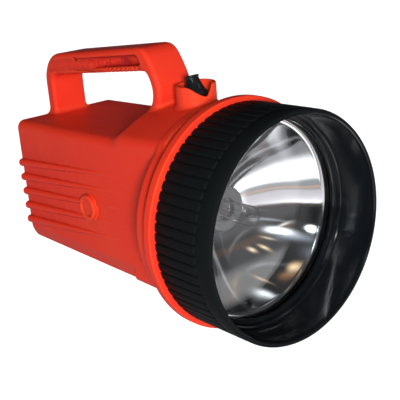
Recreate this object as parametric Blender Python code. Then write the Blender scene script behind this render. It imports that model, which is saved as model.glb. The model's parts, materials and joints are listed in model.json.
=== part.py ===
"""Hand lantern with a square battery box, a loop handle and a screw-on lens ring.

Sizes are in metres. Every piece is modelled in the lantern's own frame: the beam axis is the Y axis, the ring's
front lip lies at y = 0 and the box runs back along +Y. The root empty then tips that frame nose up, so that the
lantern stands on its flange and on the rear edge of its box, with z = 0 as the ground.
"""
import math

import bmesh
import bpy
from mathutils import Matrix, Vector

for old in list(bpy.data.objects):
    bpy.data.objects.remove(old, do_unlink=True)

# Clearances
GAP = 0.0003
RUNNING_GAP = 0.0007
BATTERY_SIDE_GAP = 0.00115
BATTERY_TOP_GAP = 0.00305
BATTERY_BOTTOM_GAP = 0.00255
THREAD_ROOM = 0.0005
GUARD_NUT_GAP = 0.00074

# Battery: the box around it takes its section from it
BATTERY_HALF = 0.03325
BATTERY_FRONT_Y = 0.0994
BATTERY_CAP_THICKNESS = 0.0020
BATTERY_SPRING_LENGTH = 0.0100
BATTERY_SPRING_OFFSET = 0.0205
BATTERY_SPRING_RADIUS = 0.0070
BATTERY_SPRING_TIP_RADIUS = 0.0030
BATTERY_SPRING_TURNS = 4
BATTERY_WIRE = 0.0006
BATTERY_REAR_GAP = 0.0025
BATTERY_ROUND = 0.0030

# Housing: battery box, its walls taper towards the rear
WALL = 0.0025
BOX_FRONT_Y = 0.0470
BOX_REAR_Y = 0.2052
BOX_REAR_HALF_WIDTH = BATTERY_HALF + BATTERY_SIDE_GAP + WALL
BOX_REAR_TOP = BATTERY_HALF + BATTERY_TOP_GAP + WALL
BOX_REAR_BOTTOM = BATTERY_HALF + BATTERY_BOTTOM_GAP + WALL
SIDE_TAPER = 0.0009
TOP_TAPER = 0.0025
BOTTOM_TAPER = 0.0028
BOX_FRONT_HALF_WIDTH = BOX_REAR_HALF_WIDTH + SIDE_TAPER
BOX_FRONT_TOP = BOX_REAR_TOP + TOP_TAPER
BOX_FRONT_BOTTOM = BOX_REAR_BOTTOM + BOTTOM_TAPER
BOX_TOP_ROUND = 0.0060
BOX_BOTTOM_ROUND = 0.0090
REAR_ROUND = 0.0025
INNER_ROUND = 0.0025
RAIL_X = 0.0200
RAIL_HALF_WIDTH = 0.0010
RAIL_SETBACK = 0.0040

# Housing: collar that the ring screws onto
COLLAR_FRONT_Y = 0.0325
COLLAR_RADIUS = 0.0534
COLLAR_WALL = 0.0024
COLLAR_BORE = COLLAR_RADIUS - COLLAR_WALL
THREAD_PITCH = 0.0040
THREAD_HEIGHT = 0.0011
THREAD_WIDTH = 0.0015
THREAD_CREST = 0.62
THREAD_FOOT = 0.0004
THREAD_TURNS = 1.2
THREAD_SETBACK = 0.0008

# Lens ring: its bore clears the collar's thread
RING_BORE = COLLAR_RADIUS + THREAD_HEIGHT + THREAD_ROOM
RING_WALL = 0.0050
RING_RADIUS = RING_BORE + RING_WALL
RING_REAR_RADIUS = RING_RADIUS - 0.0004
RING_LIP_WIDTH = 0.0028
RING_LIP_ROUND = 0.0014
HOOD_LIP_RADIUS = RING_RADIUS - RING_LIP_WIDTH
HOOD_DEPTH = 0.0266
HOOD_STEP_DEPTH = 0.0034
HOOD_STEP_WIDTH = 0.0014
RIB_SEGMENTS = 144
KNURL_DEPTH = 0.0008
KNURL_FRONT_Y = 0.0100

# Housing: flange, neck and the cowl above the box
FLANGE_PROUD = 0.0023
FLANGE_RADIUS = RING_RADIUS + FLANGE_PROUD
FLANGE_FRONT_Y = 0.0410
FLANGE_THICKNESS = 0.0062
FLANGE_CHAMFER = 0.0006
FLANGE_STEP = 0.0053
NECK_RADIUS = FLANGE_RADIUS - FLANGE_STEP
NECK_REAR_Y = 0.0610
NECK_ROUND = 0.0040
COWL_DROP = 0.0035
COWL_REAR_RADIUS = NECK_RADIUS - COWL_DROP
COWL_REAR_Y = 0.0990
COWL_END_Y = COWL_REAR_Y + 0.0110
COWL_HALF_WIDTH = 0.0340

# Housing: handle
HANDLE_HALF_WIDTH = 0.0120
HANDLE_EDGE_ROUND = 0.0022
HANDLE_FRONT_Y = 0.0880
FRONT_POST_DEPTH = 0.0070
REAR_POST_DEPTH = 0.0085
GRIP_FRONT_TOP = 0.0858
GRIP_REAR_TOP = 0.0785
GRIP_SLOPE = (GRIP_REAR_TOP - GRIP_FRONT_TOP) / 0.075
GRIP_HEIGHT = 0.0152
GRIP_FLANGE = 0.0042
FRONT_CORNER = 0.0060
REAR_CORNER = 0.0190
OPENING_FRONT_CORNER = 0.0080
OPENING_REAR_CORNER = 0.0060
POCKET_FRONT_Y = 0.1060
POCKET_REAR_Y = 0.1760
POCKET_HEIGHT = 0.0058
POCKET_DEPTH = 0.0028
STRAP_HOLE_RADIUS = 0.0014
STRAP_HOLE_Y = 0.1680
STRAP_HOLE_Z = 0.0740

# Housing: side ribs and round bosses
RIB_COUNT = 5
RIB_PITCH = 0.0094
RIB_TOP_Z = 0.0219
RIB_FALL = 0.0074
RIB_PROUD = 0.0030
RIB_REAR_HEIGHT = 0.0052
RIB_FRONT_Y = 0.0880
BOSS_RADIUS = 0.0075
BOSS_PROUD = 0.0012
BOSS_STEM = 0.0018
BOSS_DISH_RADIUS = 0.0051
BOSS_Y = 0.1299
BOSS_Z = -0.0032

# Lens, gasket and reflector
LENS_THICKNESS = 0.0024
LENS_RADIUS = COLLAR_RADIUS + 0.0009
SEAT_WIDTH = 0.0015
APERTURE_RADIUS = LENS_RADIUS - SEAT_WIDTH
GASKET_THICKNESS = 0.0012
GASKET_WIDTH = 0.0018
SEAL_WIDTH = 0.0016
REFLECTOR_WALL = 0.0010
REFLECTOR_RIM_RADIUS = COLLAR_BORE - 0.0010
REFLECTOR_APEX_Y = 0.0560
REFLECTOR_SLEEVE = 0.0050
BOWL_STEPS = 7

# Lamp
BULB_RADIUS = 0.0055
BULB_GLASS_WALL = 0.0006
BULB_TIP_Y = 0.0320
BULB_NOSE_LENGTH = 0.0060
BULB_WAIST = 0.86
BULB_BASE_RADIUS = 0.0046
BULB_BASE_LENGTH = 0.0110
BULB_FLANGE_RADIUS = 0.0064
BULB_FLANGE_THICKNESS = 0.0008
FILAMENT_Y = BULB_TIP_Y + 0.0065
FILAMENT_HALF_LENGTH = 0.0016
FILAMENT_RADIUS = 0.0006
FILAMENT_WIRE = 0.00013
POST_X = 0.0020
SOCKET_RADIUS = 0.0122
SOCKET_TAIL_RADIUS = 0.0092
SOCKET_BORE = 0.0066
SLEEVE_LENGTH = 0.0090
SLEEVE_WALL = 0.0005
RETAINER_THICKNESS = 0.0014
SOCKET_SPRING_WIRE = 0.0004

# Contact plate
PLATE_HALF = 0.0310
PLATE_CORNER = 0.0080
PLATE_THICKNESS = 0.0020
CONTACT_THICKNESS = 0.0004
RIVET_RADIUS = 0.0013
RIVET_HEAD = 0.0005

# Switch
SWITCH_Y = 0.0713
BUSHING_RADIUS = 0.0059
BUSHING_BORE = 0.0030
NUT_WALL = 0.0013
NUT_ACROSS_FLATS = 2 * (BUSHING_RADIUS + GAP + NUT_WALL)
NUT_RADIUS = NUT_ACROSS_FLATS / 2 / math.cos(math.pi / 6)
NUT_HEIGHT = 0.0034
GUARD_WALL = 0.0016
GUARD_RADIUS = NUT_RADIUS + GUARD_NUT_GAP + GUARD_WALL
GUARD_FLOOR_Z = NECK_RADIUS - 0.0005
GUARD_LOW_Z = GUARD_FLOOR_Z + 0.0048
GUARD_NEAR_Z = GUARD_FLOOR_Z + 0.0102
GUARD_HIGH_Z = GUARD_FLOOR_Z + 0.0110
LEVER_PIVOT_Z = GUARD_FLOOR_Z + 0.0020
LEVER_LEAN = math.radians(13)
BOOT_BASE = 0.0044
BOOT_TOP = 0.0138
BOOT_BASE_RADIUS = 0.0064
BOOT_TOP_RADIUS = 0.0042
SWITCH_HALF_WIDTH = 0.0064
SWITCH_HALF_LENGTH = 0.0100
SWITCH_HEIGHT = 0.0150
SWITCH_ROOF = 0.0040
SWITCH_ROOM = 0.0050
TERMINAL_OFFSET = 0.0050
TERMINAL_LENGTH = 0.0062
LEAD_RADIUS = 0.0008

SHARP_ANGLE = math.radians(32)

# Facets around round pieces
LARGE_ROUND = 48
GUARD_ROUND = 36
LAMP_ROUND = 24
SMALL_ROUND = 12


def material(name, colour, roughness, metallic=0.0, transmission=0.0):
    made = bpy.data.materials.new(name)
    made.use_nodes = True
    shader = made.node_tree.nodes["Principled BSDF"]
    shader.inputs["Base Color"].default_value = (*colour, 1.0)
    shader.inputs["Roughness"].default_value = roughness
    shader.inputs["Metallic"].default_value = metallic
    shader.inputs["Transmission Weight"].default_value = transmission
    made.diffuse_color = (*colour, 1.0)
    return made


ORANGE = material("orange_plastic", (0.80, 0.06, 0.02), 0.35)
BLACK = material("black_plastic", (0.012, 0.013, 0.016), 0.30)
RUBBER = material("black_rubber", (0.015, 0.015, 0.017), 0.60)
CLEAR = material("clear_lens", (0.95, 0.96, 0.97), 0.03, transmission=1.0)
MIRROR = material("silvered_mirror", (0.92, 0.92, 0.93), 0.04, metallic=1.0)
PALE = material("pale_plastic", (0.62, 0.63, 0.64), 0.45)
STEEL = material("plated_steel", (0.60, 0.60, 0.61), 0.28, metallic=1.0)
BRASS = material("brass", (0.78, 0.57, 0.26), 0.30, metallic=1.0)
FIBRE = material("fibre_board", (0.10, 0.08, 0.07), 0.75)
FOAM = material("grey_foam", (0.20, 0.20, 0.21), 0.95)
CARD = material("battery_jacket", (0.05, 0.12, 0.30), 0.40)
TUNGSTEN = material("tungsten", (0.35, 0.34, 0.33), 0.35, metallic=1.0)
RED_WIRE = material("red_insulation", (0.55, 0.02, 0.02), 0.45)
BLACK_WIRE = material("black_insulation", (0.02, 0.02, 0.02), 0.45)


def link(name, data, parent, finish=None):
    """Put an object into the scene under its parent."""
    made = bpy.data.objects.new(name, data)
    bpy.context.collection.objects.link(made)
    made.parent = parent
    if finish is not None:
        data.materials.append(finish)
    return made


def solid(name, shape, parent, finish=None):
    """Turn a bmesh into an object with smooth rounds and crisp edges."""
    bmesh.ops.recalc_face_normals(shape, faces=shape.faces)
    mesh = bpy.data.meshes.new(name)
    shape.to_mesh(mesh)
    shape.free()
    mesh.shade_smooth()
    mesh.set_sharp_from_angle(angle=SHARP_ANGLE)
    return link(name, mesh, parent, finish)


def turned(outline, steps, start=0.0):
    """Closed outline of (radius, y) points, spun around the Y axis."""
    shape = bmesh.new()
    turn = Matrix.Rotation(start, 3, "Y")
    points = [shape.verts.new(turn @ Vector((radius, y, 0.0))) for radius, y in outline]
    edges = [shape.edges.new((a, b)) for a, b in zip(points, points[1:] + points[:1])]
    bmesh.ops.spin(shape, geom=points + edges, cent=(0, 0, 0), axis=(0, 1, 0),
                   angle=2 * math.pi, steps=steps, use_merge=True, use_duplicate=False)
    bmesh.ops.remove_doubles(shape, verts=shape.verts, dist=1e-6)
    bmesh.ops.dissolve_degenerate(shape, edges=shape.edges, dist=1e-7)
    return shape


def upright(outline, steps, y=0.0):
    """Closed outline of (radius, z) points, spun around an upright axis at the given y."""
    shape = turned(outline, steps)
    bmesh.ops.rotate(shape, verts=shape.verts, cent=(0, 0, 0), matrix=Matrix.Rotation(math.pi / 2, 3, "X"))
    bmesh.ops.translate(shape, verts=shape.verts, vec=(0, y, 0))
    return shape


def block(low, high, round_edges=0.0, segments=2):
    """Box between two corners, with all its edges rounded if asked."""
    shape = bmesh.new()
    bmesh.ops.create_cube(shape, size=1.0)
    size = Vector(high) - Vector(low)
    centre = (Vector(high) + Vector(low)) / 2
    bmesh.ops.scale(shape, verts=shape.verts, vec=size)
    bmesh.ops.translate(shape, verts=shape.verts, vec=centre)
    if round_edges > 0:
        bmesh.ops.bevel(shape, geom=shape.edges[:], offset=round_edges, segments=segments,
                        profile=0.5, affect="EDGES")
    return shape


def prism(outline, half_width, round_edges=0.0, segments=2):
    """Outline of (y, z) points, extruded across X on both sides of the middle plane."""
    shape = bmesh.new()
    points = [shape.verts.new((-half_width, y, z)) for y, z in outline]
    face = shape.faces.new(points)
    moved = bmesh.ops.extrude_face_region(shape, geom=[face])
    fresh = [item for item in moved["geom"] if isinstance(item, bmesh.types.BMVert)]
    bmesh.ops.translate(shape, verts=fresh, vec=(2 * half_width, 0, 0))
    if round_edges > 0:
        rims = [edge for edge in shape.edges if abs(edge.verts[0].co.x - edge.verts[1].co.x) < 1e-6]
        bmesh.ops.bevel(shape, geom=rims, offset=round_edges, segments=segments, profile=0.5,
                        affect="EDGES", clamp_overlap=True)
    return shape


def arc(centre, radius, start, stop, steps):
    """Points on a circle between two angles in degrees."""
    angles = [math.radians(start + (stop - start) * index / steps) for index in range(steps + 1)]
    return [(centre[0] + radius * math.cos(a), centre[1] + radius * math.sin(a)) for a in angles]


def combine(target, tool, operation, solver="EXACT"):
    """Add or cut a tool body and hide it."""
    tool.hide_render = True
    tool.display_type = "WIRE"
    change = target.modifiers.new(operation.lower(), "BOOLEAN")
    change.operation = operation
    change.solver = solver
    change.object = tool


def helix_ridge(name, wall_radius, tip_radius, middle_y, parent):
    """Thread ridge with a flat crest, sunk a little into the wall that carries it."""
    outward = 1 if tip_radius > wall_radius else -1
    foot_radius = wall_radius - outward * THREAD_FOOT
    foot = THREAD_WIDTH / 2
    crest = foot * THREAD_CREST
    section = [(foot_radius, -foot), (foot_radius, foot), (tip_radius, crest), (tip_radius, -crest)]
    steps = round(LARGE_ROUND * THREAD_TURNS)
    shape = bmesh.new()
    rings = []
    for step in range(steps + 1):
        turn = 2 * math.pi * THREAD_TURNS * (step / steps - 0.5)
        y = middle_y - THREAD_PITCH * turn / (2 * math.pi)
        ring = [shape.verts.new((r * math.cos(turn), y + dy, r * math.sin(turn))) for r, dy in section]
        rings.append(ring)
    for one, two in zip(rings, rings[1:]):
        for index in range(4):
            after = (index + 1) % 4
            shape.faces.new((one[index], one[after], two[after], two[index]))
    shape.faces.new(rings[0])
    shape.faces.new(rings[-1])
    return solid(name, shape, parent)


def wire(name, points, radius, parent, finish, sides=2):
    """Round wire through a list of points."""
    curve = bpy.data.curves.new(name, "CURVE")
    curve.dimensions = "3D"
    curve.bevel_depth = radius
    curve.bevel_resolution = sides
    curve.use_fill_caps = True
    spline = curve.splines.new("POLY")
    spline.points.add(len(points) - 1)
    for place, point in zip(spline.points, points):
        place.co = (*point, 1.0)
    return link(name, curve, parent, finish)


def smooth_route(route, steps):
    """Catmull-Rom curve through the route's points."""
    ends = [2 * route[0] - route[1]] + route + [2 * route[-1] - route[-2]]
    points = []
    for index in range(1, len(ends) - 2):
        before, here, there, beyond = ends[index - 1:index + 3]
        for step in range(steps):
            t = step / steps
            points.append(0.5 * (2 * here + (there - before) * t
                                 + (2 * before - 5 * here + 4 * there - beyond) * t ** 2
                                 + (3 * here - before - 3 * there + beyond) * t ** 3))
    points.append(route[-1])
    return points


# Frame: the root empty carries everything, and two more empties carry what turns
drop = FLANGE_RADIUS - BOX_REAR_BOTTOM
TILT = math.atan2(drop, BOX_REAR_Y - FLANGE_FRONT_Y - FLANGE_THICKNESS)
lantern = link("lantern", None, None)
beam_axis = link("beam_axis", None, lantern)
toggle_pivot = link("toggle_pivot", None, lantern)
toggle_pivot.location = (0, SWITCH_Y, LEVER_PIVOT_Z)
toggle_pivot.rotation_euler = (-LEVER_LEAN, 0, 0)


def box_section(y, inset=0.0):
    """Half width, top and bottom of the tapered box at a given y."""
    share = (y - BOX_FRONT_Y) / (BOX_REAR_Y - BOX_FRONT_Y)
    half = BOX_FRONT_HALF_WIDTH + share * (BOX_REAR_HALF_WIDTH - BOX_FRONT_HALF_WIDTH)
    top = BOX_FRONT_TOP + share * (BOX_REAR_TOP - BOX_FRONT_TOP)
    bottom = BOX_FRONT_BOTTOM + share * (BOX_REAR_BOTTOM - BOX_FRONT_BOTTOM)
    return half - inset, top - inset, bottom - inset


def tapered_box(front_y, rear_y, inset, top_round, bottom_round, rear_round):
    """Box that follows the taper, with rounded long edges and rear edges."""
    shape = bmesh.new()
    corners = []
    for y in (front_y, rear_y):
        half, top, bottom = box_section(y, inset)
        places = ((-half, y, -bottom), (half, y, -bottom), (half, y, top), (-half, y, top))
        corners.append([shape.verts.new(place) for place in places])
    front, rear = corners
    shape.faces.new(front)
    shape.faces.new(rear)
    for index in range(4):
        after = (index + 1) % 4
        shape.faces.new((front[index], front[after], rear[after], rear[index]))
    bmesh.ops.recalc_face_normals(shape, faces=shape.faces)

    for upper, offset in ((True, top_round), (False, bottom_round)):
        corner_edges = [edge for edge in shape.edges
                        if abs(edge.verts[0].co.y - edge.verts[1].co.y) > rear_y - front_y - 1e-5
                        and abs(edge.verts[0].co.x) > BATTERY_HALF
                        and (edge.verts[0].co.z > 0) == upper
                        and edge.calc_face_angle() > math.radians(60)]
        bmesh.ops.bevel(shape, geom=corner_edges, offset=offset, segments=5, profile=0.5, affect="EDGES")
    if rear_round > 0:
        rim = [edge for edge in shape.edges if min(v.co.y for v in edge.verts) > rear_y - 1e-5]
        bmesh.ops.bevel(shape, geom=rim, offset=rear_round, segments=3, profile=0.5, affect="EDGES")
    return shape


# ---- housing ------------------------------------------------------------------------------------------------
box_shape = tapered_box(BOX_FRONT_Y - 0.002, BOX_REAR_Y, 0.0, BOX_TOP_ROUND, BOX_BOTTOM_ROUND, REAR_ROUND)
housing = solid("housing", box_shape, lantern, ORANGE)


def shape_housing(tool, operation):
    """Change the housing. EXACT leaves open seams where the shallow ribs run out, so MANIFOLD does it."""
    combine(housing, tool, operation, "MANIFOLD")


flange_rear_y = FLANGE_FRONT_Y + FLANGE_THICKNESS
flange_outline = [(0.0, FLANGE_FRONT_Y), (FLANGE_RADIUS - FLANGE_CHAMFER, FLANGE_FRONT_Y),
                  (FLANGE_RADIUS, FLANGE_FRONT_Y + FLANGE_CHAMFER)]
flange_outline += arc((FLANGE_RADIUS - REAR_ROUND, flange_rear_y - REAR_ROUND), REAR_ROUND, 0, 90, 3)
flange_outline += [(NECK_RADIUS, flange_rear_y)]
flange_outline += arc((NECK_RADIUS - NECK_ROUND, NECK_REAR_Y - NECK_ROUND), NECK_ROUND, 0, 90, 4)
flange_outline += [(0.0, NECK_REAR_Y)]
head = solid("head_shape", turned(flange_outline, LARGE_ROUND), lantern)
shape_housing(head, "UNION")

cowl_start = NECK_REAR_Y - 0.006
cowl_outline = [(0.0, cowl_start), (NECK_RADIUS - 0.0002, cowl_start), (COWL_REAR_RADIUS, COWL_REAR_Y),
                (COWL_REAR_RADIUS - 0.0035, COWL_REAR_Y + 0.0035), (BOX_FRONT_TOP - 0.006, COWL_END_Y),
                (0.0, COWL_END_Y)]
cowl = solid("cowl_shape", turned(cowl_outline, LARGE_ROUND), lantern)
limit_low = (-COWL_HALF_WIDTH, cowl_start - 0.002, BOX_FRONT_TOP - 0.014)
limit_high = (COWL_HALF_WIDTH, COWL_END_Y + 0.009, NECK_RADIUS + 0.002)
cowl_limit = solid("cowl_limit", block(limit_low, limit_high), lantern)
combine(cowl, cowl_limit, "INTERSECT")
shape_housing(cowl, "UNION")


def handle_outline():
    """Arch of two posts and the grip, its feet sunk into the box and the cowl."""
    foot = BOX_REAR_TOP - 0.005
    front_top_y = HANDLE_FRONT_Y + 0.0165
    inner_front = HANDLE_FRONT_Y + FRONT_POST_DEPTH
    inner_rear = BOX_REAR_Y - REAR_POST_DEPTH
    under = GRIP_FRONT_TOP - GRIP_HEIGHT
    rear_top = GRIP_FRONT_TOP + GRIP_SLOPE * (BOX_REAR_Y - REAR_CORNER - front_top_y)
    rear_under = under + GRIP_SLOPE * (inner_rear - OPENING_REAR_CORNER - inner_front)
    outer = [(HANDLE_FRONT_Y, foot), (HANDLE_FRONT_Y, GRIP_FRONT_TOP - 0.0213),
             (HANDLE_FRONT_Y + 0.0026, GRIP_FRONT_TOP - 0.0142),
             (front_top_y - 0.0066, GRIP_FRONT_TOP - 0.0034)]
    outer += arc((front_top_y, GRIP_FRONT_TOP - FRONT_CORNER), FRONT_CORNER, 140, 92, 3)
    outer += arc((BOX_REAR_Y - REAR_CORNER, rear_top - REAR_CORNER), REAR_CORNER, 84, 0, 7)
    outer += [(BOX_REAR_Y, foot)]
    inner = [(inner_rear, foot)]
    inner += arc((inner_rear - OPENING_REAR_CORNER, rear_under - OPENING_REAR_CORNER),
                 OPENING_REAR_CORNER, 0, 84, 4)
    inner += arc((inner_front + OPENING_FRONT_CORNER, under - OPENING_FRONT_CORNER),
                 OPENING_FRONT_CORNER, 96, 180, 4)
    inner += [(inner_front, foot)]
    return outer + inner


handle = solid("handle_shape", prism(handle_outline(), HANDLE_HALF_WIDTH, HANDLE_EDGE_ROUND), lantern)

pocket_top = GRIP_FRONT_TOP - GRIP_FLANGE
pocket_low = pocket_top - POCKET_HEIGHT
pocket_fall = GRIP_SLOPE * (POCKET_REAR_Y - POCKET_FRONT_Y)
pocket_outline = [(POCKET_FRONT_Y, pocket_low), (POCKET_FRONT_Y, pocket_top),
                  (POCKET_REAR_Y, pocket_top + pocket_fall), (POCKET_REAR_Y, pocket_low + pocket_fall)]
for side in (-1, 1):
    pocket = solid("grip_pocket", prism(pocket_outline, POCKET_DEPTH), lantern)
    pocket.location.x = side * HANDLE_HALF_WIDTH
    combine(handle, pocket, "DIFFERENCE")
hole_reach = HANDLE_HALF_WIDTH + 0.008
hole_outline = [(0.0, -hole_reach), (STRAP_HOLE_RADIUS, -hole_reach), (STRAP_HOLE_RADIUS, hole_reach),
                (0.0, hole_reach)]
strap_hole = solid("strap_hole", turned(hole_outline, SMALL_ROUND), lantern)
strap_hole.rotation_euler = (0, 0, math.pi / 2)
strap_hole.location = (0, STRAP_HOLE_Y, STRAP_HOLE_Z)
combine(handle, strap_hole, "DIFFERENCE")
shape_housing(handle, "UNION")


def ease(share):
    """Smooth step from 0 to 1."""
    share = min(max(share, 0.0), 1.0)
    return share * share * (3 - 2 * share)


def guard_rim(angle):
    """Height of the guard's rim: low at the front left, high on the right."""
    degrees = math.degrees(angle)
    if degrees < -8:
        return GUARD_LOW_Z + (GUARD_NEAR_Z - GUARD_LOW_Z) * ease((-8 - degrees) / 66)
    if degrees < 120:
        return GUARD_LOW_Z + (GUARD_HIGH_Z - GUARD_LOW_Z) * ease((degrees + 8) / 32)
    return GUARD_HIGH_Z + (GUARD_NEAR_Z - GUARD_HIGH_Z) * ease((degrees - 120) / 50)


def guard_wall():
    """Round wall around the switch, its rim at a height that changes around it."""
    shape = bmesh.new()
    foot = GUARD_FLOOR_Z - 0.008
    inner = GUARD_RADIUS - GUARD_WALL
    edge = 0.0005
    columns = []
    for step in range(GUARD_ROUND):
        angle = -math.pi + 2 * math.pi * step / GUARD_ROUND
        rim = guard_rim(angle)
        section = [(GUARD_RADIUS + 0.0004, foot), (GUARD_RADIUS, rim - edge), (GUARD_RADIUS - edge, rim),
                   (inner + edge, rim), (inner, rim - edge), (inner, foot)]
        places = [(r * math.sin(angle), SWITCH_Y - r * math.cos(angle), z) for r, z in section]
        columns.append([shape.verts.new(place) for place in places])
    for one, two in zip(columns, columns[1:] + columns[:1]):
        for index in range(6):
            after = (index + 1) % 6
            shape.faces.new((one[index], one[after], two[after], two[index]))
    return shape


guard = solid("guard_shape", guard_wall(), lantern)
shape_housing(guard, "UNION")
floor_radius = GUARD_RADIUS - 0.0006
floor_foot = GUARD_FLOOR_Z - 0.009
floor_outline = [(0, floor_foot), (floor_radius, floor_foot), (floor_radius, GUARD_FLOOR_Z), (0, GUARD_FLOOR_Z)]
guard_floor = solid("guard_floor", upright(floor_outline, GUARD_ROUND, SWITCH_Y), lantern)
shape_housing(guard_floor, "UNION")


def side_rib(top_z, side):
    """Wedge that falls slightly to the rear, where it stands proud, and runs out into the wall at the front."""
    shape = bmesh.new()
    rear_half = box_section(BOX_REAR_Y)[0]
    front_half = box_section(RIB_FRONT_Y)[0]
    rear_y = BOX_REAR_Y - 0.0015
    root = rear_half - 0.001
    rear_top = top_z - RIB_FALL
    rear_z = rear_top - RIB_REAR_HEIGHT
    front_z = top_z - 0.0008
    rear = [(root, rear_y, rear_z), (rear_half + RIB_PROUD, rear_y, rear_z + 0.001),
            (rear_half + RIB_PROUD, rear_y, rear_top - 0.0006), (root, rear_y, rear_top)]
    front = [(root, RIB_FRONT_Y, front_z), (front_half - 0.0001, RIB_FRONT_Y, front_z + 0.0001),
             (front_half - 0.0001, RIB_FRONT_Y, top_z - 0.0001), (root, RIB_FRONT_Y, top_z)]
    made = [[shape.verts.new((side * x, y, z)) for x, y, z in loop] for loop in (rear, front)]
    shape.faces.new(made[0])
    shape.faces.new(made[1])
    for index in range(4):
        after = (index + 1) % 4
        shape.faces.new((made[0][index], made[0][after], made[1][after], made[1][index]))
    return shape


for side in (-1, 1):
    for index in range(RIB_COUNT):
        rib = solid("rib_shape", side_rib(RIB_TOP_Z - index * RIB_PITCH, side), lantern)
        shape_housing(rib, "UNION")
    boss_top = BOSS_STEM + BOSS_PROUD
    dish = BOSS_STEM + BOSS_PROUD / 2
    boss_outline = [(0, -WALL), (BOSS_RADIUS, -WALL), (BOSS_RADIUS, BOSS_STEM),
                    (BOSS_RADIUS - BOSS_PROUD, boss_top), (BOSS_DISH_RADIUS, boss_top),
                    (BOSS_DISH_RADIUS - BOSS_PROUD / 2, dish), (0, dish)]
    boss = solid("boss_shape", turned(boss_outline, LAMP_ROUND), lantern)
    boss.rotation_euler = (0, 0, -side * math.pi / 2)
    boss.location = (side * box_section(BOSS_Y)[0], BOSS_Y, BOSS_Z)
    shape_housing(boss, "UNION")

collar_edge = 0.0004
collar_root = FLANGE_FRONT_Y + 0.001
collar_outline = [(0, COLLAR_FRONT_Y), (COLLAR_RADIUS - collar_edge, COLLAR_FRONT_Y),
                  (COLLAR_RADIUS, COLLAR_FRONT_Y + collar_edge), (COLLAR_RADIUS, collar_root), (0, collar_root)]
collar = solid("collar_shape", turned(collar_outline, LARGE_ROUND), lantern)
shape_housing(collar, "UNION")

# Hollow: bore through collar and neck, then the battery's space, then the switch's space under the cowl
neck_bore_rear = NECK_REAR_Y - WALL
neck_bore = NECK_RADIUS - WALL
bore_start = COLLAR_FRONT_Y - 0.003
bore_outline = [(0, bore_start), (COLLAR_BORE, bore_start), (COLLAR_BORE, FLANGE_FRONT_Y + 0.003),
                (neck_bore, FLANGE_FRONT_Y + 0.007), (neck_bore, neck_bore_rear), (0, neck_bore_rear)]
bore = solid("bore_cut", turned(bore_outline, LARGE_ROUND), lantern)
shape_housing(bore, "DIFFERENCE")
hollow = tapered_box(neck_bore_rear - 0.004, BOX_REAR_Y - WALL, WALL, INNER_ROUND, INNER_ROUND, 0.0)
compartment = solid("compartment_cut", hollow, lantern)
shape_housing(compartment, "DIFFERENCE")
roof_z = GUARD_FLOOR_Z - SWITCH_ROOF
room_half_width = SWITCH_HALF_WIDTH + SWITCH_ROOM
room_front_y = SWITCH_Y - SWITCH_HALF_LENGTH - 0.0040
room_rear_y = SWITCH_Y + SWITCH_HALF_LENGTH + 0.0025
switch_space = solid("switch_space_cut", block((-room_half_width, room_front_y, BOX_FRONT_TOP - 0.012),
                                               (room_half_width, room_rear_y, roof_z)), lantern)
shape_housing(switch_space, "DIFFERENCE")
hole_radius = BUSHING_RADIUS + GAP
hole_low = roof_z - 0.002
hole_high = GUARD_FLOOR_Z + 0.002
switch_hole_outline = [(0, hole_low), (hole_radius, hole_low), (hole_radius, hole_high), (0, hole_high)]
switch_hole = solid("switch_hole_cut", upright(switch_hole_outline, LAMP_ROUND, SWITCH_Y), lantern)
shape_housing(switch_hole, "DIFFERENCE")

# Rails that guide the battery, and the thread on the collar
rail_ends = (BATTERY_FRONT_Y + RAIL_SETBACK, BOX_REAR_Y - WALL / 2)
for x in (-RAIL_X, RAIL_X):
    for side, part in ((1, 1), (-1, 2)):
        near = side * (BATTERY_HALF + GAP)
        far = [side * box_section(y, WALL / 2)[part] for y in rail_ends]
        rail_outline = [(rail_ends[0], near), (rail_ends[1], near), (rail_ends[1], far[1]),
                        (rail_ends[0], far[0])]
        rail = solid("rail_shape", prism(rail_outline, RAIL_HALF_WIDTH), lantern)
        rail.location.x = x
        shape_housing(rail, "UNION")
thread_middle = (COLLAR_FRONT_Y + FLANGE_FRONT_Y) / 2 - THREAD_SETBACK
outer_thread = helix_ridge("collar_thread", COLLAR_RADIUS, COLLAR_RADIUS + THREAD_HEIGHT, thread_middle, lantern)
shape_housing(outer_thread, "UNION")

# ---- lens ring ----------------------------------------------------------------------------------------------
ring_rear_y = FLANGE_FRONT_Y - RUNNING_GAP
lens_front_y = HOOD_DEPTH + GAP
lens_rear_y = lens_front_y + LENS_THICKNESS
seal_pocket = RING_BORE + 0.0008
seal_pocket_y = ring_rear_y - SEAL_WIDTH - GAP
lens_pocket = LENS_RADIUS + GAP
ring_outline = [(RING_RADIUS - RING_LIP_ROUND, 0.0), (RING_RADIUS, RING_LIP_ROUND + 0.0002),
                (RING_RADIUS, KNURL_FRONT_Y), (RING_RADIUS - KNURL_DEPTH / 5, KNURL_FRONT_Y + 0.0012),
                (RING_REAR_RADIUS, ring_rear_y), (seal_pocket, ring_rear_y), (seal_pocket, seal_pocket_y),
                (RING_BORE, seal_pocket_y - 0.0007), (RING_BORE, lens_rear_y + 0.0010),
                (lens_pocket, lens_rear_y), (lens_pocket, HOOD_DEPTH), (APERTURE_RADIUS, HOOD_DEPTH),
                (APERTURE_RADIUS + HOOD_STEP_WIDTH, HOOD_DEPTH - HOOD_STEP_DEPTH), (HOOD_LIP_RADIUS, 0.0006)]
ring_shape = turned(ring_outline, RIB_SEGMENTS)
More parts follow.
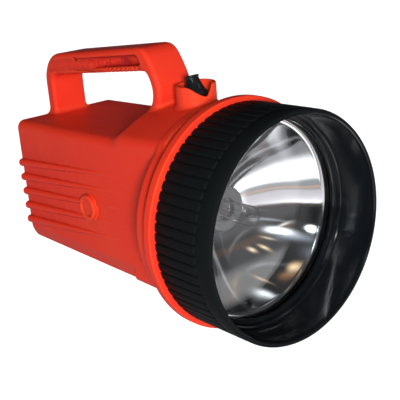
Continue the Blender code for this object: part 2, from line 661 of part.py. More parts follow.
for vert in ring_shape.verts:
    radius = math.hypot(vert.co.x, vert.co.z)
    step = round(math.atan2(vert.co.z, vert.co.x) / (2 * math.pi / RIB_SEGMENTS))
    if vert.co.y > KNURL_FRONT_Y + 0.0005 and radius > RING_REAR_RADIUS - 0.0015 and step % 2:
        vert.co.x *= 1 - KNURL_DEPTH / radius
        vert.co.z *= 1 - KNURL_DEPTH / radius
lens_ring = solid("lens_ring", ring_shape, beam_axis, BLACK)
inner_thread = helix_ridge("ring_thread", RING_BORE, RING_BORE - THREAD_HEIGHT, thread_middle - THREAD_PITCH / 2,
                           beam_axis)
combine(lens_ring, inner_thread, "UNION")

# ---- lens, its gasket and the collar's seal -----------------------------------------------------------------
lens_edge = 0.0004
lens_outline = [(0, lens_front_y), (LENS_RADIUS - lens_edge, lens_front_y),
                (LENS_RADIUS, lens_front_y + lens_edge), (LENS_RADIUS, lens_rear_y), (0, lens_rear_y)]
solid("lens", turned(lens_outline, LARGE_ROUND), beam_axis, CLEAR)
gasket_front = lens_rear_y + GAP
gasket_rear = gasket_front + GASKET_THICKNESS
gasket_outer = COLLAR_RADIUS - 0.0002
gasket_inner = gasket_outer - GASKET_WIDTH
gasket_outline = [(gasket_inner, gasket_front), (gasket_outer, gasket_front), (gasket_outer, gasket_rear),
                  (gasket_inner, gasket_rear)]
solid("lens_gasket", turned(gasket_outline, LARGE_ROUND), beam_axis, RUBBER)
seal_middle = (COLLAR_RADIUS + GAP + SEAL_WIDTH / 2, FLANGE_FRONT_Y - GAP - SEAL_WIDTH / 2)
solid("collar_oring", turned(arc(seal_middle, SEAL_WIDTH / 2, 0, 300, 5), LARGE_ROUND), lantern, RUBBER)

# ---- reflector ----------------------------------------------------------------------------------------------
rim_front = gasket_rear + GAP
rim_rear = COLLAR_FRONT_Y - GAP
focal = (REFLECTOR_RIM_RADIUS ** 2 - SOCKET_RADIUS ** 2) / (REFLECTOR_APEX_Y - rim_rear) / 4
vertex_y = REFLECTOR_APEX_Y + SOCKET_RADIUS ** 2 / (4 * focal)
socket_clear = SOCKET_RADIUS + GAP
bowl = []
for index in range(BOWL_STEPS + 1):
    radius = REFLECTOR_RIM_RADIUS + (socket_clear - REFLECTOR_RIM_RADIUS) * index / BOWL_STEPS
    bowl.append((radius, vertex_y - radius ** 2 / (4 * focal)))
sleeve_end = REFLECTOR_APEX_Y + REFLECTOR_SLEEVE
across = REFLECTOR_WALL * 0.8
along = REFLECTOR_WALL * 0.6
rim_outer = COLLAR_RADIUS - 0.0004
reflector_outline = [(REFLECTOR_RIM_RADIUS, rim_front)] + bowl
reflector_outline += [(socket_clear, sleeve_end), (socket_clear + across, sleeve_end)]
reflector_outline += [(radius + across, y + along) for radius, y in reversed(bowl)]
reflector_outline += [(REFLECTOR_RIM_RADIUS + across, rim_rear), (rim_outer, rim_rear), (rim_outer, rim_front)]
solid("reflector", turned(reflector_outline, LARGE_ROUND), lantern, MIRROR)

# ---- lamp, retainer and socket ------------------------------------------------------------------------------
retainer_front = REFLECTOR_APEX_Y - 0.0004
retainer_rear = retainer_front + RETAINER_THICKNESS
retainer_bore = BULB_RADIUS + 2 * GAP
retainer_outline = [(retainer_bore, retainer_front), (SOCKET_RADIUS - 0.0004, retainer_front),
                    (SOCKET_RADIUS, retainer_front + 0.0004), (SOCKET_RADIUS, retainer_rear),
                    (retainer_bore, retainer_rear)]
solid("bulb_retainer", turned(retainer_outline, LAMP_ROUND), lantern, PALE)
flange_front = retainer_rear + GAP
flange_rear = flange_front + BULB_FLANGE_THICKNESS
socket_front = retainer_rear + GAP
socket_rear = BATTERY_FRONT_Y - BATTERY_SPRING_LENGTH - CONTACT_THICKNESS - PLATE_THICKNESS - 3 * GAP
flange_pocket = BULB_FLANGE_RADIUS + GAP
socket_outline = [(flange_pocket, socket_front), (SOCKET_RADIUS, socket_front),
                  (SOCKET_RADIUS, socket_front + 0.0040), (SOCKET_TAIL_RADIUS, socket_front + 0.0052),
                  (SOCKET_TAIL_RADIUS, socket_rear), (SOCKET_BORE, socket_rear),
                  (SOCKET_BORE, flange_rear + GAP + 0.0014), (SOCKET_BORE - 0.0006, flange_rear + GAP),
                  (flange_pocket, flange_rear + GAP)]
solid("bulb_socket", turned(socket_outline, LAMP_ROUND), lantern, PALE)
sleeve_front = flange_rear + 2 * GAP
sleeve_rear = sleeve_front + SLEEVE_LENGTH
sleeve_bore = BULB_BASE_RADIUS + GAP
sleeve_outline = [(sleeve_bore, sleeve_front), (sleeve_bore + SLEEVE_WALL, sleeve_front),
                  (sleeve_bore + SLEEVE_WALL, sleeve_rear), (sleeve_bore, sleeve_rear)]
solid("socket_sleeve", turned(sleeve_outline, LAMP_ROUND), lantern, BRASS)
base_rear = flange_rear + BULB_BASE_LENGTH
base_tip = base_rear + 0.0012
base_outline = [(0, flange_front + 0.0006), (BULB_FLANGE_RADIUS, flange_front), (BULB_FLANGE_RADIUS, flange_rear),
                (BULB_BASE_RADIUS, flange_rear), (BULB_BASE_RADIUS, base_rear - 0.001),
                (BULB_BASE_RADIUS - 0.001, base_rear), (0.0016, base_rear), (0.0012, base_tip - 0.0002),
                (0, base_tip)]
solid("bulb_base", turned(base_outline, LAMP_ROUND), lantern, BRASS)


def bulb_glass():
    """Round-nosed glass shell, open towards its base."""
    foot = flange_front - GAP
    nose = BULB_TIP_Y + BULB_RADIUS
    inner = BULB_RADIUS - BULB_GLASS_WALL
    outside = [(radius, nose - rise) for radius, rise in arc((0, 0), BULB_RADIUS, 90, 0, 6)]
    inside = [(radius, nose - rise) for radius, rise in arc((0, 0), inner, 0, 90, 6)]
    waist_y = nose + BULB_NOSE_LENGTH
    waist = BULB_RADIUS * BULB_WAIST
    outline = outside + [(BULB_RADIUS, waist_y), (waist, foot)]
    outline += [(waist - BULB_GLASS_WALL, foot), (inner, waist_y)] + inside
    return turned([(max(radius, 0.0), y) for radius, y in outline], LAMP_ROUND)


solid("bulb_glass", bulb_glass(), lantern, CLEAR)

post_foot = flange_front - GAP
post_top = FILAMENT_Y + 0.0015
filament_steps = 40
filament = []
for step in range(filament_steps + 1):
    x = FILAMENT_HALF_LENGTH * (2 * step / filament_steps - 1)
    angle = step * math.pi / 2.5
    filament.append(Vector((x, FILAMENT_Y - FILAMENT_RADIUS * math.cos(angle), FILAMENT_RADIUS * math.sin(angle))))
route = [Vector((-POST_X, post_foot, 0)), Vector((-POST_X, post_top, 0))] + filament
route += [Vector((POST_X, post_top, 0)), Vector((POST_X, post_foot, 0))]
wire("bulb_filament", route, FILAMENT_WIRE, lantern, TUNGSTEN, 0)


def coil_route(centre, base_y, top_y, base_radius, top_radius, turns):
    """Points of a conical coil around a line parallel to the beam."""
    steps = SMALL_ROUND
    count = round(turns * steps)
    points = []
    for step in range(count + 1):
        share = step / count
        angle = 2 * math.pi * turns * share
        radius = base_radius + (top_radius - base_radius) * share
        points.append(Vector((centre[0] + radius * math.cos(angle), base_y + (top_y - base_y) * share,
                              centre[1] + radius * math.sin(angle))))
    return points


plate_front = socket_rear + GAP
plate_rear = plate_front + PLATE_THICKNESS
contact_front = plate_rear + GAP
contact_rear = contact_front + CONTACT_THICKNESS
spring_room = GAP + SOCKET_SPRING_WIRE + 0.0001
socket_coil = coil_route((0, 0), base_tip + spring_room, plate_front - spring_room, 0.0030, 0.0042, 4)
wire("socket_spring", socket_coil, SOCKET_SPRING_WIRE, lantern, STEEL, 1)

# ---- contact plate, its two contacts and their rivets -------------------------------------------------------
plate = block((-PLATE_HALF, plate_front, -PLATE_HALF), (PLATE_HALF, plate_rear, PLATE_HALF))
plate_corners = [edge for edge in plate.edges if abs(edge.verts[0].co.y - edge.verts[1].co.y) > 0.001]
bmesh.ops.bevel(plate, geom=plate_corners, offset=PLATE_CORNER, segments=4, profile=0.5, affect="EDGES")
contact_plate = solid("contact_plate", plate, lantern, FIBRE)
positive_rivets = [(0.0, 0.0070), (0.0, -0.0130)]
negative_rivets = [(BATTERY_SPRING_OFFSET - 0.0095, BATTERY_SPRING_OFFSET),
                   (BATTERY_SPRING_OFFSET + 0.0060, BATTERY_SPRING_OFFSET)]


def strip(name, low, high):
    """Thin contact strip on the plate's rear face."""
    return solid(name, block((low[0], contact_front, low[1]), (high[0], contact_rear, high[1])), lantern, BRASS)


contact_positive = strip("contact_positive", (-0.0060, -0.0165), (0.0060, 0.0100))
contact_negative = strip("contact_negative", (BATTERY_SPRING_OFFSET - 0.0120, BATTERY_SPRING_OFFSET - 0.0060),
                         (BATTERY_SPRING_OFFSET + 0.0090, BATTERY_SPRING_OFFSET + 0.0060))
head_front = contact_rear + GAP / 2
head_rear = contact_rear + RIVET_HEAD
rivet_clear = RIVET_RADIUS + GAP / 2
hole_front = plate_front - 0.002
hole_rear = head_rear + 0.002
rivet_hole_outline = [(0, hole_front), (rivet_clear, hole_front), (rivet_clear, hole_rear), (0, hole_rear)]
rivet_outline = [(0, plate_front + 0.0002), (RIVET_RADIUS, plate_front + 0.0002), (RIVET_RADIUS, head_front),
                 (RIVET_RADIUS * 1.7, head_front), (RIVET_RADIUS * 1.2, head_rear), (0, head_rear)]
for number, (x, z) in enumerate(positive_rivets + negative_rivets, start=1):
    shank = solid("rivet_hole", turned(rivet_hole_outline, SMALL_ROUND), lantern)
    shank.location = (x, 0, z)
    combine(contact_plate, shank, "DIFFERENCE")
    combine(contact_positive if number < 3 else contact_negative, shank, "DIFFERENCE")
    rivet = solid(f"rivet_{number}", turned(rivet_outline, SMALL_ROUND), lantern, BRASS)
    rivet.location = (x, 0, z)

# ---- battery ------------------------------------------------------------------------------------------------
cap_rear = BATTERY_FRONT_Y + BATTERY_CAP_THICKNESS
battery_rear = BOX_REAR_Y - WALL - BATTERY_REAR_GAP
solid("battery_case", block((-BATTERY_HALF, cap_rear + GAP, -BATTERY_HALF),
                            (BATTERY_HALF, battery_rear, BATTERY_HALF), BATTERY_ROUND, 2), lantern, CARD)
solid("battery_cap", block((-BATTERY_HALF, BATTERY_FRONT_Y, -BATTERY_HALF),
                           (BATTERY_HALF, cap_rear, BATTERY_HALF), 0.0008, 1), lantern, BLACK)
spring_base = BATTERY_FRONT_Y - GAP - BATTERY_WIRE
spring_top = BATTERY_FRONT_Y - BATTERY_SPRING_LENGTH + BATTERY_WIRE
spring_places = {"battery_spring_positive": (0, 0),
                 "battery_spring_negative": (BATTERY_SPRING_OFFSET, BATTERY_SPRING_OFFSET)}
for name, centre in spring_places.items():
    spring = coil_route(centre, spring_base, spring_top, BATTERY_SPRING_RADIUS, BATTERY_SPRING_TIP_RADIUS,
                        BATTERY_SPRING_TURNS)
    wire(name, spring, BATTERY_WIRE, lantern, STEEL, 1)
pad_half = BATTERY_HALF - BATTERY_ROUND
solid("battery_pad", block((-pad_half, battery_rear + GAP, -pad_half),
                           (pad_half, BOX_REAR_Y - WALL - GAP, pad_half)), lantern, FOAM)

# ---- switch: body, terminals, bushing and nut ---------------------------------------------------------------
switch_top = roof_z - GAP
switch_bottom = switch_top - SWITCH_HEIGHT
solid("switch_body", block((-SWITCH_HALF_WIDTH, SWITCH_Y - SWITCH_HALF_LENGTH, switch_bottom),
                           (SWITCH_HALF_WIDTH, SWITCH_Y + SWITCH_HALF_LENGTH, switch_top - 0.0006), 0.0006, 1),
      lantern, BLACK)
bushing_top = GUARD_FLOOR_Z + NUT_HEIGHT + 0.0004
bushing_outline = [(BUSHING_BORE, switch_top), (BUSHING_RADIUS, switch_top), (BUSHING_RADIUS, bushing_top),
                   (BUSHING_BORE, bushing_top)]
solid("switch_bushing", upright(bushing_outline, LAMP_ROUND, SWITCH_Y), lantern, STEEL)
nut_depth = NUT_HEIGHT - GAP
nut_shape = bmesh.new()
bmesh.ops.create_cone(nut_shape, cap_ends=True, segments=6, radius1=NUT_RADIUS, radius2=NUT_RADIUS,
                      depth=nut_depth)
bmesh.ops.translate(nut_shape, verts=nut_shape.verts, vec=(0, SWITCH_Y, GUARD_FLOOR_Z + GAP + nut_depth / 2))
boot_nut = solid("boot_nut", nut_shape, lantern, BLACK)
nut_bore_low = GUARD_FLOOR_Z - 0.002
nut_bore_high = GUARD_FLOOR_Z + NUT_HEIGHT + 0.0046
nut_bore_outline = [(0, nut_bore_low), (hole_radius, nut_bore_low), (hole_radius, nut_bore_high),
                    (0, nut_bore_high)]
nut_bore = solid("nut_bore_cut", upright(nut_bore_outline, LAMP_ROUND, SWITCH_Y), lantern)
combine(boot_nut, nut_bore, "DIFFERENCE")
terminal_low = switch_bottom - GAP - TERMINAL_LENGTH
for number, offset in ((1, -TERMINAL_OFFSET), (2, TERMINAL_OFFSET)):
    terminal = block((-0.0020, SWITCH_Y + offset - 0.0004, terminal_low),
                     (0.0020, SWITCH_Y + offset + 0.0004, switch_bottom - GAP))
    solid(f"switch_terminal_{number}", terminal, lantern, BRASS)

# ---- toggle lever and its rubber boot, modelled along their own upright axis ---------------------------------
lever_outline = [(0, -0.0034), (0.0010, -0.0034), (0.0013, -0.0018), (0.0021, -0.0010), (0.0022, 0.0),
                 (0.0018, 0.0012), (0.0014, 0.0024), (0.0016, BOOT_TOP - 0.0062), (0.0020, BOOT_TOP - 0.0026),
                 (0.0012, BOOT_TOP - 0.0018), (0, BOOT_TOP - 0.0018)]
solid("toggle_lever", upright(lever_outline, LAMP_ROUND), toggle_pivot, STEEL)
boot_wall = 0.0010
boot_roof = BOOT_TOP - 0.0014
boot_outline = [(BOOT_BASE_RADIUS - boot_wall, BOOT_BASE), (BOOT_BASE_RADIUS, BOOT_BASE),
                (BOOT_BASE_RADIUS - 0.0002, BOOT_BASE + 0.0012), (BOOT_TOP_RADIUS, BOOT_TOP - 0.0018),
                (BOOT_TOP_RADIUS + 0.0002, BOOT_TOP - 0.0006), (BOOT_TOP_RADIUS - 0.0002, BOOT_TOP),
                (0, BOOT_TOP), (0, boot_roof), (BOOT_TOP_RADIUS - boot_wall, boot_roof)]
solid("switch_boot", upright(boot_outline, LAMP_ROUND), toggle_pivot, RUBBER)

# ---- leads from the switch to the socket and to the contact plate -------------------------------------------
terminal_foot = terminal_low - GAP - LEAD_RADIUS
lamp_route = [Vector((0, SWITCH_Y - TERMINAL_OFFSET, terminal_foot)), Vector((0.004, SWITCH_Y - 0.0065, 0.026)),
              Vector((0.006, SWITCH_Y - 0.0080, 0.020)), Vector((0.003, SWITCH_Y - 0.0075, 0.0145)),
              Vector((0.0, SWITCH_Y - TERMINAL_OFFSET, SOCKET_TAIL_RADIUS + GAP + LEAD_RADIUS))]
battery_route = [Vector((0, SWITCH_Y + TERMINAL_OFFSET, terminal_foot)),
                 Vector((0.004, SWITCH_Y + 0.0068, 0.026)), Vector((0.0080, SWITCH_Y + 0.0090, 0.0225)),
                 Vector((negative_rivets[0][0], plate_front - GAP, negative_rivets[0][1]))]
wire("lead_lamp", smooth_route(lamp_route, 5), LEAD_RADIUS, lantern, RED_WIRE)
wire("lead_battery", smooth_route(battery_route, 5), LEAD_RADIUS, lantern, BLACK_WIRE)


def stand_on_ground(root, tilt):
    """Tip the lantern nose up and put the middle of its foot print on the origin."""
    root.rotation_euler = (-tilt, 0, 0)
    bpy.context.view_layer.update()
    low = Vector((math.inf,) * 3)
    high = Vector((-math.inf,) * 3)
    depsgraph = bpy.context.evaluated_depsgraph_get()
    for name in ("housing", "lens_ring"):
        piece = bpy.data.objects[name].evaluated_get(depsgraph)
        for vert in piece.data.vertices:
            place = piece.matrix_world @ vert.co
            low = Vector(map(min, low, place))
            high = Vector(map(max, high, place))
    root.location = (-(low.x + high.x) / 2, -(low.y + high.y) / 2, -low.z)
    bpy.context.view_layer.update()


stand_on_ground(lantern, TILT)
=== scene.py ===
"""Hand lantern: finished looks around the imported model. Lengths are in metres unless a name ends in _mm."""
import json
import math

import bmesh
import bpy
import numpy as np
from mathutils import Matrix, Vector


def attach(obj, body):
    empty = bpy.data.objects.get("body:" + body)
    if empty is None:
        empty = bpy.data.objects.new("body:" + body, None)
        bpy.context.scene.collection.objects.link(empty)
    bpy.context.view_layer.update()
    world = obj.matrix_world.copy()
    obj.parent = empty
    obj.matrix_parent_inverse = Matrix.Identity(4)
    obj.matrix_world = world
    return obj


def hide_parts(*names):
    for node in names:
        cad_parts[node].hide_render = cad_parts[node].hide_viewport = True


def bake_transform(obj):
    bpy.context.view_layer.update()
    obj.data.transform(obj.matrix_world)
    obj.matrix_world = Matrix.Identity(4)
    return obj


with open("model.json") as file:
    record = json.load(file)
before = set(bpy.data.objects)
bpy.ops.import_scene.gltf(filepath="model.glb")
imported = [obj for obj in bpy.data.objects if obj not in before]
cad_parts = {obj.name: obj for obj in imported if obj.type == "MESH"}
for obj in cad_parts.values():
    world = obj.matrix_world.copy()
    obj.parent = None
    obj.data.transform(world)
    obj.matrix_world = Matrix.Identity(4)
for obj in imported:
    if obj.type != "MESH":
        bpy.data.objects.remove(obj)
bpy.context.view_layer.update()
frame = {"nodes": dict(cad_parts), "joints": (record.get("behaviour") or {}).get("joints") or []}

# The lantern's own frame: its Y axis is the lamp's beam axis, running back from the ring's lip. The screw joint
# of the ring gives that axis, so everything below is modelled upright and then set down with this one matrix.
screw = next(joint for joint in frame["joints"] if joint["name"] == "ring_screw")
back = -Vector(screw["axis"]).normalized()
side = Vector((1.0, 0.0, 0.0))
upright = Matrix((side, back, side.cross(back))).transposed().to_4x4()
STANDING = Matrix.Translation(Vector(screw["pos_m"])) @ upright
MM = 0.001

# ---- Camera, studio lights and table ------------------------------------------------------------------------
# The camera looks at the lamp from its front left, a little above. One large soft light stands beside it, so
# that the sides are bright and the upward faces stay deep red. The table and surround are pale.
LENS_FOCAL_MM, SENSOR_MM = 77.43, 36.0
CAMERA_PLACE_MM = (-288.9, -274.8, 148.3)
view_right = Vector((0.752, -0.654, -0.081))
view_up = Vector((0.261, 0.183, 0.948))
view_back = view_right.cross(view_up).normalized()
view_up = view_back.cross(view_right).normalized()
camera = bpy.data.objects.new("camera", bpy.data.cameras.new("camera"))
bpy.context.scene.collection.objects.link(camera)
camera.data.lens = LENS_FOCAL_MM
camera.data.sensor_width = SENSOR_MM
camera_place = Matrix.Translation(Vector(CAMERA_PLACE_MM) * MM)
camera_turn = Matrix((view_right.normalized(), view_up, view_back)).transposed().to_4x4()
camera.matrix_world = STANDING @ camera_place @ camera_turn
bpy.context.scene.camera = camera
bpy.context.scene.view_settings.view_transform = "Standard"
LIGHTS_AIM = Vector((0.0, 0.0, 0.06))


def studio_light(name, azimuth, elevation, distance, size, power, tall=None):
    """Rectangular soft light that faces the lantern's middle, from angles in degrees."""
    lamp = bpy.data.lights.new(name, "AREA")
    lamp.shape = "RECTANGLE"
    lamp.size = size
    lamp.size_y = tall or size
    lamp.energy = power
    made = bpy.data.objects.new(name, lamp)
    bpy.context.scene.collection.objects.link(made)
    a, e = math.radians(azimuth), math.radians(elevation)
    away = Vector((math.sin(a) * math.cos(e), -math.cos(a) * math.cos(e), math.sin(e)))
    made.location = LIGHTS_AIM + away * distance
    made.rotation_mode = "QUATERNION"
    made.rotation_quaternion = away.to_track_quat("Z", "Y")
    made.visible_glossy = False
    made.visible_transmission = False
    return made


studio_light("key", -35, 17, 1.1, 0.18, 12.6)
studio_light("front_fill", -6, 2, 1.2, 0.30, 1.0)
studio_light("right_fill", 100, 3, 1.3, 0.6, 9.0)
studio_light("rear_fill", 180, -4, 1.3, 0.4, 5.0)
strip = studio_light("strip", -52, 26, 1.0, 0.06, 2.2, tall=0.7)
strip.visible_glossy = True

world = bpy.data.worlds.new("studio")
world.use_nodes = True
bpy.context.scene.world = world
tree = world.node_tree
tree.nodes.clear()
bearing = tree.nodes.new("ShaderNodeTexCoord").outputs["Generated"]
apart = tree.nodes.new("ShaderNodeSeparateXYZ")
tree.links.new(bearing, apart.inputs[0])


def math_node(tree, operation, one, two=0.0, clamp=False):
    """Math node with its two values given as numbers or sockets."""
    node = tree.nodes.new("ShaderNodeMath")
    node.operation = operation
    node.use_clamp = clamp
    for index, value in enumerate((one, two)):
        if isinstance(value, bpy.types.NodeSocket):
            tree.links.new(value, node.inputs[index])
        else:
            node.inputs[index].default_value = value
    return node.outputs[0]


# Bearing in degrees: azimuth from straight ahead of the lamp towards its left, and height above the table
TO_DEGREES = 180 / math.pi
ahead = math_node(tree, "MULTIPLY", apart.outputs["Y"], -1.0)
azimuth = math_node(tree, "MULTIPLY", math_node(tree, "ARCTAN2", apart.outputs["X"], ahead), TO_DEGREES)
height = math_node(tree, "MULTIPLY", math_node(tree, "ARCSINE", apart.outputs["Z"]), TO_DEGREES)
chart = tree.nodes.new("ShaderNodeCombineXYZ")
tree.links.new(azimuth, chart.inputs["X"])
tree.links.new(height, chart.inputs["Y"])
# The room itself is dim, and a little brighter in front of the lamp than behind it
facing = tree.nodes.new("ShaderNodeMapRange")
facing.inputs["From Min"].default_value = 0.2
facing.inputs["From Max"].default_value = -0.8
facing.inputs["To Min"].default_value = 0.02
facing.inputs["To Max"].default_value = 0.05
tree.links.new(apart.outputs["Y"], facing.inputs["Value"])
sky = facing.outputs["Result"]
# Soft lamps and windows of the room: azimuth, height, half width, half height, tilt, brightness and colour
for place_az, place_el, wide, tall, tilt, bright, colour in (
        (-16, 23, 9, 2.6, -8, 5.0, (0.92, 0.97, 1.0)), (-26, 28, 13, 2.6, 4, 0.5, (0.75, 0.86, 1.0)),
        (5, 36, 5.0, 1.3, -30, 1.6, (1.0, 0.74, 0.45)), (20, 34, 4.2, 1.5, -28, 1.5, (1.0, 0.78, 0.50)),
        (-12, 51, 8, 1.8, 15, 1.5, (1.0, 0.72, 0.42)), (4, 55, 10, 1.6, 0, 0.35, (1.0, 0.45, 0.20)),
        (50, 50, 10, 2.2, -38, 1.9, (0.92, 0.97, 1.0)), (-41, 8, 3.0, 9, 0, -0.035, (1.0, 1.0, 1.0)),
        (-34, 40, 8, 5, 30, 0.25, (0.80, 0.88, 1.0)), (30, 20, 22, 1.4, 6, 0.16, (0.9, 0.95, 1.0)),
        (18, 44, 26, 1.0, -12, 0.22, (0.9, 0.95, 1.0)), (-10, 12, 14, 1.2, -10, 0.45, (0.9, 0.95, 1.0)),
        (-38, 20, 1.5, 1.5, 0, 45.0, (1.0, 1.0, 1.0)), (-22, 17, 5, 1.0, 25, 1.2, (1.0, 0.98, 0.95)),
        (-4, 29, 6, 0.9, -20, 1.0, (1.0, 0.85, 0.65)), (36, 48, 7, 0.9, -40, 0.8, (1.0, 0.72, 0.45))):
    spot = tree.nodes.new("ShaderNodeMapping")
    spot.vector_type = "TEXTURE"
    spot.inputs["Location"].default_value = (place_az, place_el, 0.0)
    spot.inputs["Rotation"].default_value = (0.0, 0.0, math.radians(tilt))
    spot.inputs["Scale"].default_value = (wide, tall, 1.0)
    reach_squared = tree.nodes.new("ShaderNodeVectorMath")
    reach_squared.operation = "DOT_PRODUCT"
    tree.links.new(chart.outputs[0], spot.inputs["Vector"])
    tree.links.new(spot.outputs[0], reach_squared.inputs[0])
    tree.links.new(spot.outputs[0], reach_squared.inputs[1])
    glow = math_node(tree, "EXPONENT", math_node(tree, "MULTIPLY", reach_squared.outputs["Value"], -1.0))
    tinted = tree.nodes.new("ShaderNodeVectorMath")
    tinted.operation = "SCALE"
    tinted.inputs[0].default_value = tuple(bright * c for c in colour)
    tree.links.new(glow, tinted.inputs["Scale"])
    together = tree.nodes.new("ShaderNodeVectorMath")
    tree.links.new(sky, together.inputs[0])
    tree.links.new(tinted.outputs[0], together.inputs[1])
    sky = together.outputs[0]
room = tree.nodes.new("ShaderNodeBackground")
tree.links.new(sky, room.inputs["Color"])
backdrop = tree.nodes.new("ShaderNodeBackground")
backdrop.inputs["Color"].default_value = (1.0, 1.0, 1.0, 1.0)
path = tree.nodes.new("ShaderNodeLightPath")
choose = tree.nodes.new("ShaderNodeMixShader")
world_out = tree.nodes.new("ShaderNodeOutputWorld")
tree.links.new(path.outputs["Is Camera Ray"], choose.inputs[0])
tree.links.new(room.outputs[0], choose.inputs[1])
tree.links.new(backdrop.outputs[0], choose.inputs[2])
tree.links.new(choose.outputs[0], world_out.inputs["Surface"])

TABLE_HALF = 4.0
TABLE_GLOW = 1.7
floor_mesh = bpy.data.meshes.new("table_top")
table_corners = [(a * TABLE_HALF, b * TABLE_HALF, 0) for a, b in ((-1, -1), (1, -1), (1, 1), (-1, 1))]
floor_mesh.from_pydata(table_corners, [], [(0, 1, 2, 3)])
floor = bpy.data.objects.new("table_top", floor_mesh)
bpy.context.scene.collection.objects.link(floor)
table_paint = bpy.data.materials.new("table_paint")
table_paint.use_nodes = True
table_shader = table_paint.node_tree.nodes["Principled BSDF"]
table_shader.inputs["Base Color"].default_value = (0.32, 0.32, 0.32, 1.0)
table_shader.inputs["Roughness"].default_value = 0.9
table_shader.inputs["Specular IOR Level"].default_value = 0.1
table_nodes = table_paint.node_tree
along = table_nodes.nodes.new("ShaderNodeSeparateXYZ")
table_nodes.links.new(table_nodes.nodes.new("ShaderNodeTexCoord").outputs["Object"], along.inputs[0])
# Bands of light and dark across the table in front of the lamp, as the mirror sees them: place and colour
cloth = table_nodes.nodes.new("ShaderNodeMapRange")
cloth.inputs["From Min"].default_value = 0.0
cloth.inputs["From Max"].default_value = -1.0
table_nodes.links.new(along.outputs["Y"], cloth.inputs["Value"])
sheet = table_nodes.nodes.new("ShaderNodeValToRGB")
table_nodes.links.new(cloth.outputs["Result"], sheet.inputs["Fac"])
bands = ((0.0, (0.10, 0.10, 0.11)), (0.135, (0.10, 0.10, 0.11)), (0.15, (1.0, 1.0, 1.0)),
         (0.185, (1.0, 1.0, 1.0)), (0.20, (0.12, 0.13, 0.14)), (0.225, (0.10, 0.10, 0.11)),
         (0.235, (0.42, 0.22, 0.10)), (0.25, (0.05, 0.05, 0.05)), (0.27, (0.30, 0.28, 0.30)),
         (0.80, (0.38, 0.35, 0.37)), (0.83, (0.035, 0.025, 0.018)))
band_stops = sheet.color_ramp.elements
band_stops[0].position, band_stops[0].color = bands[0][0], (*bands[0][1], 1.0)
band_stops[1].position, band_stops[1].color = bands[-1][0], (*bands[-1][1], 1.0)
for position, colour in bands[1:-1]:
    band_stops.new(position).color = (*colour, 1.0)
# Seen straight on the table is plain white, and only the mirror sees the bands
table_path = table_nodes.nodes.new("ShaderNodeLightPath")
seen = table_nodes.nodes.new("ShaderNodeMix")
seen.data_type = "RGBA"
seen.inputs[7].default_value = (1.0, 1.0, 1.0, 1.0)
table_nodes.links.new(table_path.outputs["Is Camera Ray"], seen.inputs[0])
table_nodes.links.new(sheet.outputs["Color"], seen.inputs[6])
table_nodes.links.new(seen.outputs[2], table_shader.inputs["Emission Color"])
mirror_glow = math_node(table_nodes, "MULTIPLY", table_path.outputs["Is Glossy Ray"], TABLE_GLOW)
table_glow = math_node(table_nodes, "MAXIMUM", table_path.outputs["Is Camera Ray"], mirror_glow)
table_nodes.links.new(table_glow, table_shader.inputs["Emission Strength"])
floor_mesh.materials.append(table_paint)

# ---- Moulded housing ----------------------------------------------------------------------------------------
# One orange injection moulding: battery box, neck and flange, cowl, carrying handle and switch guard, with every
# inside corner filleted. It is worked out as a field of distances to the surface in mm and then skinned.
# Everything in the field is in mm and in the lantern's own frame.
BOX_FRONT_Y, BOX_REAR_Y, BOX_HALF_MM = 47.0, 205.2, 37.8
WALL_MM = 2.5
RIB_COUNT, RIB_TOP_MM, RIB_PITCH_MM, RIB_FALL_MM = 5, 21.9, 9.4, 7.3
RIB_START_Y, RIB_RUN_MM = 88.0, 117.0
BOSS_Y, BOSS_Z, BOSS_RADIUS_MM, BOSS_HEIGHT_MM = 129.9, -3.2, 7.6, 3.0
NECK_RADIUS_MM, NECK_REAR_Y = 57.0, 61.0
FLANGE_RADIUS_MM, FLANGE_FRONT_Y, FLANGE_REAR_Y = 62.3, 41.0, 47.2
GRIP_HALF_MM, GRIP_TOP_Z, GRIP_START_Y, GRIP_FALL = 12.0, 85.8, 104.5, 0.0973
POCKET_DEPTH_MM, TOOTH_PITCH_MM = 6.4, 4.0
STRAP_HOLE_Y, STRAP_HOLE_Z, STRAP_HOLE_RADIUS_MM = 168.0, 75.6, 1.5
SWITCH_Y, GUARD_RADIUS_MM, GUARD_FOOT_Z = 71.3, 10.2, 50.0


def meet(a, b, radius):
    """Where both solids are, with the edge between them rounded."""
    inner = np.minimum(np.maximum(a, b), -radius)
    return inner + np.hypot(np.maximum(a + radius, 0.0), np.maximum(b + radius, 0.0))


def melt(a, b, radius):
    """Either solid, with a fillet where they join."""
    near = np.maximum(radius - np.abs(a - b), 0.0) / radius
    return np.minimum(a, b) - near * near * radius / 4


def carve(a, b, radius):
    """The first solid less the second."""
    return -melt(-a, b, radius)


def ramp_between(value, low, high):
    """0 before low, 1 after high and smooth between."""
    share = np.clip((value - low) / (high - low), 0.0, 1.0)
    return share * share * (3 - 2 * share)


def arc_mm(centre, radius, start, stop, steps):
    """Points on a circle between two angles in degrees."""
    turns = np.radians(np.linspace(start, stop, steps + 1))
    return [(centre[0] + radius * math.cos(t), centre[1] + radius * math.sin(t)) for t in turns]


def soft_line(points, steps=6):
    """Catmull-Rom line through a few points."""
    route = [np.array(p, float) for p in points]
    ends = [2 * route[0] - route[1]] + route + [2 * route[-1] - route[-2]]
    line = []
    for before, here, there, beyond in zip(ends, ends[1:], ends[2:], ends[3:]):
        for t in np.arange(steps) / steps:
            bend = 2 * before - 5 * here + 4 * there - beyond
            twist = 3 * here - before - 3 * there + beyond
            line.append(0.5 * (2 * here + (there - before) * t + bend * t ** 2 + twist * t ** 3))
    return [tuple(p) for p in line] + [tuple(route[-1])]


